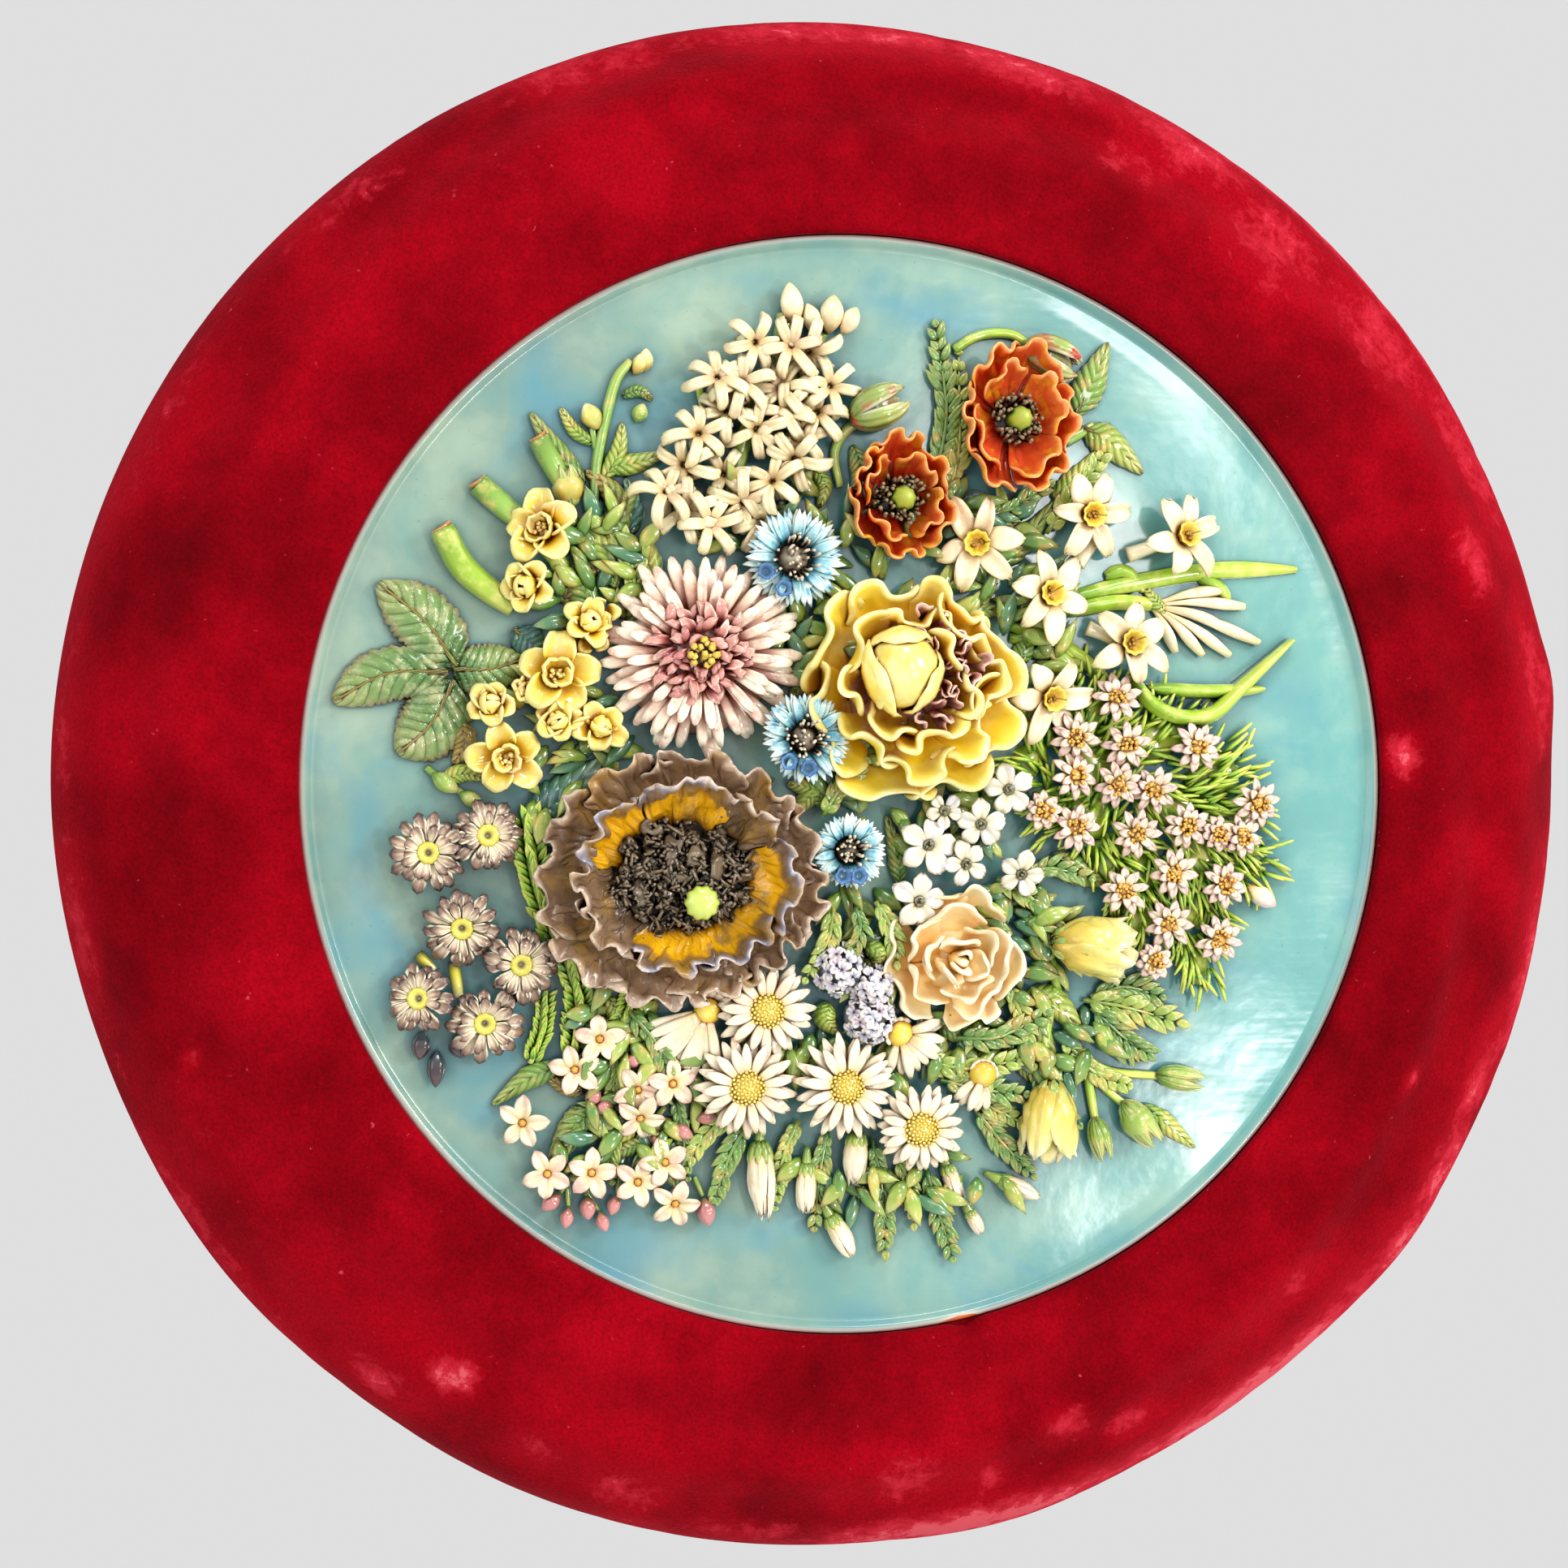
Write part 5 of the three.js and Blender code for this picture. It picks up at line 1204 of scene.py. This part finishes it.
FERNS = [  # spine, width, pairs, glaze, lift
    ([(27, 112), (33, 140), (29, 173)], 13, 15, 0, 0), ([(33, 108), (38, 128), (38, 163)], 9, 12, 1, 0),
    ([(87, -83), (104, -86), (124, -92)], 15, 8, 1, 0), ([(90, -86), (101, -96), (112, -104)], 13, 7, 0, 0),
    ([(90, -82), (103, -78), (117, -82)], 13, 7, 0, 0), ([(-40, -122), (-50, -138), (-57, -158)], 9, 9, 0, 2),
    ([(-46, -120), (-58, -130), (-70, -146)], 8, 8, 1, 1), ([(-13, -130), (-16, -146), (-18, -166)], 9, 9, 0, 1),
    ([(4, -134), (8, -154), (9, -176)], 10, 10, 0, 1), ([(25, -146), (29, -160), (35, -179)], 10, 9, 0, 1),
    ([(44, -124), (54, -136), (66, -149)], 10, 9, 0, 1), ([(38, -116), (52, -124), (68, -132)], 9, 8, 1, 1),
    ([(-24, -126), (-30, -140), (-33, -158)], 8, 8, 1, 1), ([(14, -142), (18, -150), (20, -166)], 8, 7, 1, 1),
    ([(22, -104), (42, -108), (64, -104)], 11, 9, 1, 4), ([(36, -96), (52, -96), (70, -88)], 10, 8, 0, 5),
    ([(30, -112), (46, -116), (62, -118)], 10, 8, 0, 4), ([(56, -76), (62, -90), (66, -106)], 10, 8, 1, 4),
    ([(66, -108), (72, -118), (84, -130)], 9, 7, 0, 1), ([(78, -96), (90, -110), (104, -116)], 9, 7, 1, 1),
    ([(-88, -84), (-78, -96), (-74, -106)], 10, 7, 0, 5), ([(-96, -90), (-92, -104), (-96, -118)], 9, 7, 1, 1),
    ([(-92, -118), (-104, -124), (-112, -136)], 9, 7, 0, 1), ([(-88, -122), (-94, -134), (-94, -146)], 8, 7, 1, 1),
    ([(-80, -122), (-82, -134), (-84, -146)], 8, 7, 0, 1), ([(-70, -116), (-68, -130), (-66, -146)], 8, 8, 0, 1),
    ([(-88, 62), (-86, 76), (-92, 94)], 10, 7, 1, 3),
    ([(62, -38), (72, -32), (88, -36)], 10, 7, 0, 3), ([(52, -36), (66, -44), (76, -56)], 10, 7, 1, 4),
    ([(-12, -46), (-14, -58), (-22, -72)], 9, 7, 1, 8), ([(4, -44), (10, -54), (12, -66)], 9, 6, 1, 8),
    ([(-16, -12), (-10, -2), (0, 8)], 9, 6, 1, 9), ([(-4, -46), (-2, -54), (-6, -64)], 8, 6, 0, 9),
    ([(72, 96), (84, 112), (96, 128)], 10, 8, 1, 1), ([(40, 102), (56, 104), (72, 114)], 10, 8, 0, 2),
]
THICKETS = [  # middle, half sizes, way the tips point, leaves: the low leaves that fill in under the bouquet
    (-10, 8, 16, 14, 0, 16), (24, -8, 26, 16, 300, 18), (60, -56, 18, 26, 320, 22), (20, -96, 46, 14, 280, 26),
    (-50, -102, 40, 14, 260, 18), (-104, -4, 20, 26, 200, 14), (-96, 76, 22, 22, 130, 24), (-30, 96, 40, 16, 100, 20),
    (30, 96, 36, 12, 60, 18), (66, 52, 14, 26, 20, 14), (-10, 70, 20, 26, 90, 12), (-96, 30, 22, 26, 160, 16),
    (4, 62, 16, 22, 110, 12), (-26, 50, 12, 20, 70, 10), (52, -50, 16, 12, 330, 12), (50, 70, 20, 16, 40, 12),
    (-90, -86, 14, 22, 240, 14), (-4, -56, 16, 22, 270, 14), (80, -96, 16, 16, 310, 10), (-92, -128, 26, 14, 250, 18),
    (6, -146, 52, 10, 270, 16),
]


def undergrowth():
    glazes = [
        fired_glaze("meadow_green_glaze", [(0.0, "#44702c"), (0.5, "#6c9640"), (1.0, "#a8b460")], hollow="#345c1c",
                    blush="#b8a050", wander=0.5),
        fired_glaze("young_green_glaze", [(0.0, "#749438"), (0.5, "#9cb448"), (1.0, "#ccd07c")], hollow="#547c24",
                    blush="#d0bc60", wander=0.5),
        fired_glaze("shade_green_glaze", [(0.0, "#2c5c3c"), (0.6, "#4c8058"), (1.0, "#88a878")], hollow="#1c4028",
                    blush="#7c8c50", wander=0.5),
    ]
    forms, low = [], []
    for spine, width, pairs, glaze, lift in FERNS:
        forms += fern(spine, width, pairs, glaze=glaze, foot=lift)
    for x, y, long, wide, direction, count in THICKETS:
        for _ in range(int(count * 1.7)):
            out, angle = chance.uniform() ** 0.5, chance.uniform(0, 2 * pi)
            slopes = [30 + jitter(16), 6 + jitter(10), -20 + jitter(16)]
            one = petal(chance.uniform(11, 19), chance.uniform(4.5, 7.5), LEAF, slopes, cup=-0.6, crease=-0.5, ruffle=0.5,
                        bow=jitter(0.2), thickness=1.4, across=7, along=9, glaze=(0, 1, 0, 1, 2)[int(chance.integers(0, 5))])
            low.append(one.spin(direction + jitter(70)).move(x + long * out * cos(angle), y + wide * out * sin(angle),
                                                             GROUND + chance.uniform(0.5, 7)))
    return [fire("ferns", forms, glazes), fire("low_leaves", low, glazes)]


STRAPS = [  # points, width, height, ridges
    ([(80, 71), (110, 78), (141, 83), (174, 84)], 7, 4, 2), ([(80, 66), (100, 70), (120, 69)], 6, 5, 1),
    ([(58, 61), (72, 56), (84, 48)], 6, 5, 1), ([(58, 56), (77, 54), (98, 40)], 6, 4, 1),
    ([(105, 42), (113, 31), (124, 26), (137, 27), (148, 36), (171, 56)], 6, 12, 2),
    ([(112, 37), (136, 36), (160, 37)], 5, 8, 1), ([(96, 80), (104, 82), (112, 74)], 5, 4, 1),
    ([(134, 80), (142, 76), (146, 70)], 5, 4, 1),
]
STALKS = [  # points, thickness, height, glaze: 0 lime, 1 green, 2 cut end
    ([(-156, 93), (-149, 80), (-139, 71), (-130, 65)], 10, 8, 0), ([(-143, 110), (-134, 102), (-125, 95)], 9, 8, 1),
    ([(-121, 127), (-116, 118), (-110, 107)], 8.5, 8, 1), ([(-101, 100), (-99, 122), (-93, 148), (-87, 157)], 4.4, 4, 1),
    ([(-99, 122), (-101, 130), (-100, 134)], 3, 3, 1), ([(3, 138), (-5, 134), (-10, 125), (-8, 112)], 4, 4, 1),
    ([(36, 165), (46, 171), (58, 172), (66, 168)], 4, 4, 0), ([(80, 131), (85, 134), (91, 138)], 4, 4, 1),
    ([(-29, 176), (-31, 165), (-39, 146), (-46, 124), (-50, 104)], 7, 6, 1), ([(-14, 170), (-22, 158), (-32, 146)], 4, 5, 1),
    ([(64, -50), (74, -66), (77, -80), (84, -100), (96, -110), (118, -113)], 4, 4, 0),
    ([(76, -78), (72, -95), (72, -114)], 5, 5, 0), ([(84, -102), (93, -114), (104, -124)], 4, 4, 0),
    ([(88, -106), (90, -118), (92, -130)], 4, 3.5, 0), ([(76, -62), (72, -66), (66, -62)], 5, 6, 0),
    ([(-162, 6), (-154, 0), (-144, -6)], 3, 3, 1), ([(-100, -142), (-84, -132), (-74, -120)], 3, 3, 1),
    ([(-39, -130), (-40, -120)], 4, 4, 1), ([(-62, 152), (-60, 140)], 3, 3, 0), ([(-152, 44), (-140, 36), (-128, 32)], 4, 5, 1),
]
CATKINS = [([(-125, -14), (-122, -36), (-114, -59)], 8, 6), ([(-112, -60), (-106, -82), (-108, -101)], 7, 5),
           ([(-119, -79), (-120, -92), (-124, -103)], 5, 4), ([(-96, -98), (-88, -84), (-84, -72)], 6, 5)]


def stems():
    lime = fired_glaze("bright_stem_glaze", [(0.0, "#84ac2c"), (0.5, "#acd03c"), (1.0, "#d4dc5c")], hollow="#64841c",
                       blush="#e4e878", blush_mm=12, lines=2)
    sap = fired_glaze("sap_green_glaze", [(0.0, "#6c9434"), (0.5, "#90b84c"), (1.0, "#bccc68")], hollow="#4c6c24",
                      blush="#ccc068", lines=2)
    fresh = fired_glaze("fresh_green_glaze", [(0.0, "#4c8c24"), (0.5, "#7cb834"), (1.0, "#c4dc4c")], hollow="#3c7418")
    cut = fired_glaze("cut_stem_glaze", [(0.0, "#a8602c"), (1.0, "#d99a48")], hollow="#5c3010")
    forms = []
    for points, width, height, ridges in STRAPS:
        forms.append(strap(points, width, height, ridges=ridges))
    for points, thick, height, glaze in STALKS:
        forms.append(stalk(points, thick, height, glaze=glaze))
        if thick > 8:
            x, y = points[0]
            end = turned([(0, 0), (thick * 0.42, 0), (thick * 0.42, 1.5), (0, 1)], 14, glaze=2)
            forms += [end.lean(80, 0).spin(125).move(x, y, GROUND + height * 0.55)]
    for points, thick, height in CATKINS:
        forms.append(stalk(points, thick * 0.7, height, 0.7, glaze=1))
        spine = np.array(points, float)
        count = int(4.2 * np.linalg.norm(spine[-1] - spine[0]) / thick) * 2
        for i in range(count):
            x, y = flowing(spine, np.array([i / count]))[0]
            ahead = spine[-1] - spine[0]
            way = np.degrees(np.arctan2(ahead[1], ahead[0])) + 180
            side = (-1, 0, 1)[i % 3]
            scale = petal(thick * 1.1, thick * 0.42, LEAF, [40 + jitter(10), 24, -6], cup=0.5, crease=-0.3, thickness=1.2,
                          across=7, along=8, glaze=(0, 3)[i % 2])
            forms.append(scale.spin(way + 30 * side + jitter(8)).move(x - side * thick * 0.3 * sin(radians(way)),
                                                          y + side * thick * 0.3 * cos(radians(way)),
                                                          GROUND + height * (0.8 if side == 0 else 0.5)))
    return fire("stems_and_catkins", forms, [lime, sap, cut, fresh])


# ---------------------------------------------------------------- disc, padded ring and board
def disc():
    """The glazed disc with its raised lip; its ground rolls a little, as hand-pressed clay does."""
    rows = [(0, DISC_BACK), (60, DISC_BACK), (130, DISC_BACK), (DISC_RADIUS - 2, DISC_BACK),
            (DISC_RADIUS, DISC_BACK + 2), (DISC_RADIUS, DISC_BACK + 9), (DISC_RADIUS, LIP - 2.4),
            (DISC_RADIUS - 0.5, LIP - 1.5), (DISC_RADIUS - 1.7, LIP - 1.1), (DISC_RADIUS - 3.0, LIP - 1.6),
            (DISC_RADIUS - 4.2, GROUND + 0.3), (DISC_RADIUS - 4.9, GROUND)]
    rows += [(r, GROUND) for r in np.linspace(DISC_RADIUS - 6, 4, 60)] + [(0, GROUND)]
    form = turned(rows, 220)
    x, y, z = form.points.T
    reach = np.hypot(x, y) / DISC_RADIUS
    roll = 0.35 * np.sin(x / 31 + 1.2) * np.cos(y / 27) + 0.22 * np.sin(x / 13 + y / 17)
    form.points[:, 2] += roll * (z > DISC_BACK + 11) * (reach < 0.97)
    chipped = 0.02 * np.exp(-(((x - 39) / 5) ** 2) - ((y + 205) / 3) ** 2)  # bare clay at one chip in the rim
    form.marks = np.stack([x / DISC_RADIUS / 2 + 0.5, y / DISC_RADIUS / 2 + 0.5, reach + chipped], axis=1)
    return fire("glazed_disc", [form], [ground_glaze()])


RING_PROFILE = [  # radius from the disc's edge, height: from the rebate round over the padding to the back
    (-11.6, 7.3), (-11.6, 36.6), (0.35, 36.7), (0.35, 54.2), (-0.4, 54.8), (0.3, 57.0), (3.6, 58.4), (9, 59.6), (17, 60.6),
    (25, 60.9), (33, 60.2), (42, 58.0), (52, 54.3), (62, 49.0), (71, 43.0), (79, 36.0), (85.5, 28.5), (89.8, 20.5),
    (91.0, 15.0), (89.0, 9.0), (84.6, 7.3),
]


def swell(angle):
    """How far the padding swells or sinks outward at an angle round the ring, in mm."""
    out = 0
    for at, wide, high in ((8, 4, 3), (-38, 6, 2), (-77, 8, 2), (-128, 10, -2), (200, 14, -1.5)):
        away = (np.degrees(angle) - at + 180) % 360 - 180
        out = out + high * np.exp(-((away / wide) ** 2))
    return out


CRUSH_AND_SHEEN_PATCHES = [  # angle, share outward, reach in degrees, reach outward, strength: crushed pile, with painted sheen in the rows at share 0.9 and beyond and painted brighter areas in the broad rows with reach outward 0.4 and 0.5
    (8, 0.86, 9, 0.18, 0.66), (3, 0.08, 3, 0.1, 0.9), (20, 0.62, 5, 0.14, 0.75), (28, 0.88, 10, 0.18, 0.72),
    (40, 0.76, 8, 0.26, 0.72), (52, 0.68, 7, 0.28, 0.74), (62, 0.86, 8, 0.2, 0.8), (76, 0.88, 10, 0.16, 0.84),
    (66, 0.6, 5, 0.14, 0.66), (90, 0.92, 16, 0.12, 0.8), (45, 0.97, 40, 0.07, 0.85),
    (130, 0.6, 30, 0.5, 0.32), (-95, 0.6, 40, 0.5, 0.26), (-145, 0.6, 28, 0.5, 0.26), (50, 0.7, 34, 0.4, 0.3), (-40, 0.7, 30, 0.4, 0.16),
    (110, 0.92, 12, 0.14, 0.7), (132, 0.9, 8, 0.14, 0.6), (152, 0.9, 16, 0.1, 0.5), (176, 0.94, 14, 0.07, 0.5),
    (-16, 0.92, 12, 0.12, 0.8), (-25, 0.84, 7, 0.12, 0.8), (-28, 0.44, 1.8, 0.05, 0.8), (-40, 0.94, 12, 0.12, 0.9),
    (-56, 0.95, 16, 0.14, 1.15), (-33, 0.9, 6, 0.14, 0.9), (-48, 0.6, 3, 0.1, 0.66), (-66, 0.68, 3, 0.1, 0.74), (-72, 0.56, 3, 0.12, 0.74), (-80, 0.94, 16, 0.13, 1.15), (-86, 0.62, 4, 0.16, 0.7), (-79, 0.7, 2, 0.1, 0.74),
    (-98, 0.9, 9, 0.1, 0.6), (-108, 0.8, 4, 0.12, 0.7), (-116, 0.74, 3, 0.12, 0.6), (-125, 0.64, 2.6, 0.1, 1.0),
    (-129, 0.84, 4, 0.1, 0.8), (-146, 0.95, 14, 0.07, 0.6), (-168, 0.93, 14, 0.08, 0.6), (-158, 0.62, 1, 0.06, 0.7),
]


def padded_ring():
    """Velvet drawn over wadding on a wooden ring: tacked behind, rolled in at the disc."""
    steps = 480
    turn = np.linspace(0, 2 * pi, steps, endpoint=False)
    share = np.linspace(0, 1, 104)
    profile = flowing(np.array(RING_PROFILE, float), share)
    out, height = profile.T
    angle, outward = np.meshgrid(turn, out, indexing="ij")
    z = np.repeat(height[None], steps, axis=0)
    soft = np.clip((outward - 2) / 12, 0, 1) * np.clip((z - 8) / 8, 0, 1)
    free = np.clip((outward - 24) / 60, 0, 1)
    outward = outward + free * swell(angle)
    lump = 0
    for _ in range(26):
        n, m = int(chance.integers(2, 26)), chance.uniform(0.4, 3)
        lump = lump + chance.normal() / (2 + n) * np.sin(n * angle + m * outward / 12 + chance.uniform(0, 6))
    z = z + soft * (lump * 2.0 - 2.0)
    outward = outward + soft * lump * 0.4
    dent = ((np.degrees(angle) + 128 + 180) % 360 - 180) / 4.2
    z = z - 2.6 * np.exp(-dent**2 - ((outward - 52) / 12) ** 2)
    drawn = 0
    for at in chance.uniform(0, 2 * pi, 120):
        away = (angle - at + pi) % (2 * pi) - pi
        drawn = drawn + chance.uniform(0.1, 0.45) * np.exp(-((away / 0.012) ** 2))
    z = z - drawn * np.exp(-((outward - 84) / 13) ** 2) * 1.3
    z = z - drawn * np.exp(-((outward - 4) / 5) ** 2) * 0.9
    slack = np.exp(-(((np.degrees(angle) + 79 + 180) % 360 - 180) / 1.3) ** 2 - (outward / 4) ** 2) * (z > 50)
    outward, z = outward + 3.2 * slack, z - 3.5 * slack
    radius = DISC_RADIUS + outward
    points = np.stack([radius * np.cos(angle), radius * np.sin(angle), z], axis=-1).reshape(-1, 3)
    # Crushed pile and painted sheen: each table row lightens a patch; the rows near the outer edge paint its sheen, the
    # broad rows paint brighter areas.
    crush_and_painted_sheen = 0
    span = np.clip(outward / 91, 0, 1)
    for at, middle, wide, deep, strong in CRUSH_AND_SHEEN_PATCHES:
        away = ((np.degrees(angle) - at + 180) % 360 - 180) / wide
        crush_and_painted_sheen = np.maximum(crush_and_painted_sheen, strong * np.exp(-away**2 - ((span - middle) / deep) ** 2))
    marks = np.stack([span.ravel(), (crush_and_painted_sheen * np.ones_like(span)).ravel(), (angle / (2 * pi)).ravel()], axis=1)
    at = np.arange(points.shape[0]).reshape(steps, -1)
    beside, above = np.roll(at, -1, axis=0), np.roll(at, -1, axis=1)
    both = np.roll(beside, -1, axis=1)
    faces = np.stack([at, beside, both, above], axis=-1).reshape(-1, 4).tolist()
    ring = fire("velvet_ring", [Form(points, faces, marks)], [crimson_velvet()], "velvet_frame")
    return ring


pieces = [hyacinth(), poppies(), narcissi(), aster(), peony(), cornflowers(), buttercups(), auriculas(), dark_poppy(),
          daisies(), star_flowers(), heath(), phlox_and_lilac(), rose(), buds(), poppy_buds(), leaves(), *undergrowth(), stems(),
          disc(), padded_ring()]
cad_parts["back_board"].material_slots[0].material = bare_wood()


# ---------------------------------------------------------------- light, camera and floor
def lamp(name, place, size, watts, tint="#ffffff", aim=(0, -0.05, 0)):
    """Square soft light that faces a point."""
    light = bpy.data.lights.new(name, "AREA")
    light.energy, light.size, light.color = watts, size, colour(tint)[:3]
    holder = bpy.data.objects.new(name, light)
    holder.location = place
    holder.rotation_euler = (Vector(aim) - Vector(place)).to_track_quat("-Z", "Y").to_euler()
    bpy.context.scene.collection.objects.link(holder)
    return holder


def studio():
    world = bpy.data.worlds.new("pale_studio")
    bpy.context.scene.world = world
    world.use_nodes = True
    background = world.node_tree.nodes["Background"]
    background.inputs["Color"].default_value = colour("#ffffff")
    background.inputs["Strength"].default_value = 0.74
    lamp("window_upper_right", (0.50, -1.55, 0.27), 0.2, 2.4)
    lamp("window_lower_right", (0.75, -1.55, -0.42), 0.13, 5.0)
    lamp("key_right", (1.25, -1.15, 0.55), 0.45, 14)
    lamp("fill_left", (-1.3, -1.25, 0.45), 1.0, 6)
    lamp("fill_top", (0.15, -1.15, 1.35), 0.45, 7)
    edge = [(0.92 * cos(a), 0.92 * sin(a), -0.62) for a in np.linspace(0, 2 * pi, 96, endpoint=False)]
    floor = bpy.data.meshes.new("floor")
    floor.from_pydata(edge, [], [list(range(96))])
    pale, tree = new_material("matt_paper_floor")
    close_material(tree, put(tree, "BsdfPrincipled", {"Base Color": colour("#e9e8e5"), "Roughness": 0.9}))
    floor.materials.append(pale)
    holder = bpy.data.objects.new("floor", floor)
    bpy.context.scene.collection.objects.link(holder)
    bpy.context.scene.view_settings.view_transform = "Standard"


def camera():
    """Just left of the plaque's middle, level with it and close."""
    lens = bpy.data.cameras.new("camera")
    lens.lens, lens.sensor_width, lens.shift_x = 57, 36, -0.0451
    holder = bpy.data.objects.new("camera", lens)
    around = radians(-10.8)
    holder.location = (0.95 * sin(around), -0.04 - 0.95 * cos(around), 0)
    holder.rotation_euler = (pi / 2, 0, around)
    lens.clip_start, lens.clip_end = 0.05, 20
    bpy.context.scene.collection.objects.link(holder)
    bpy.context.scene.camera = holder


studio()
camera()
bpy.context.view_layer.update()
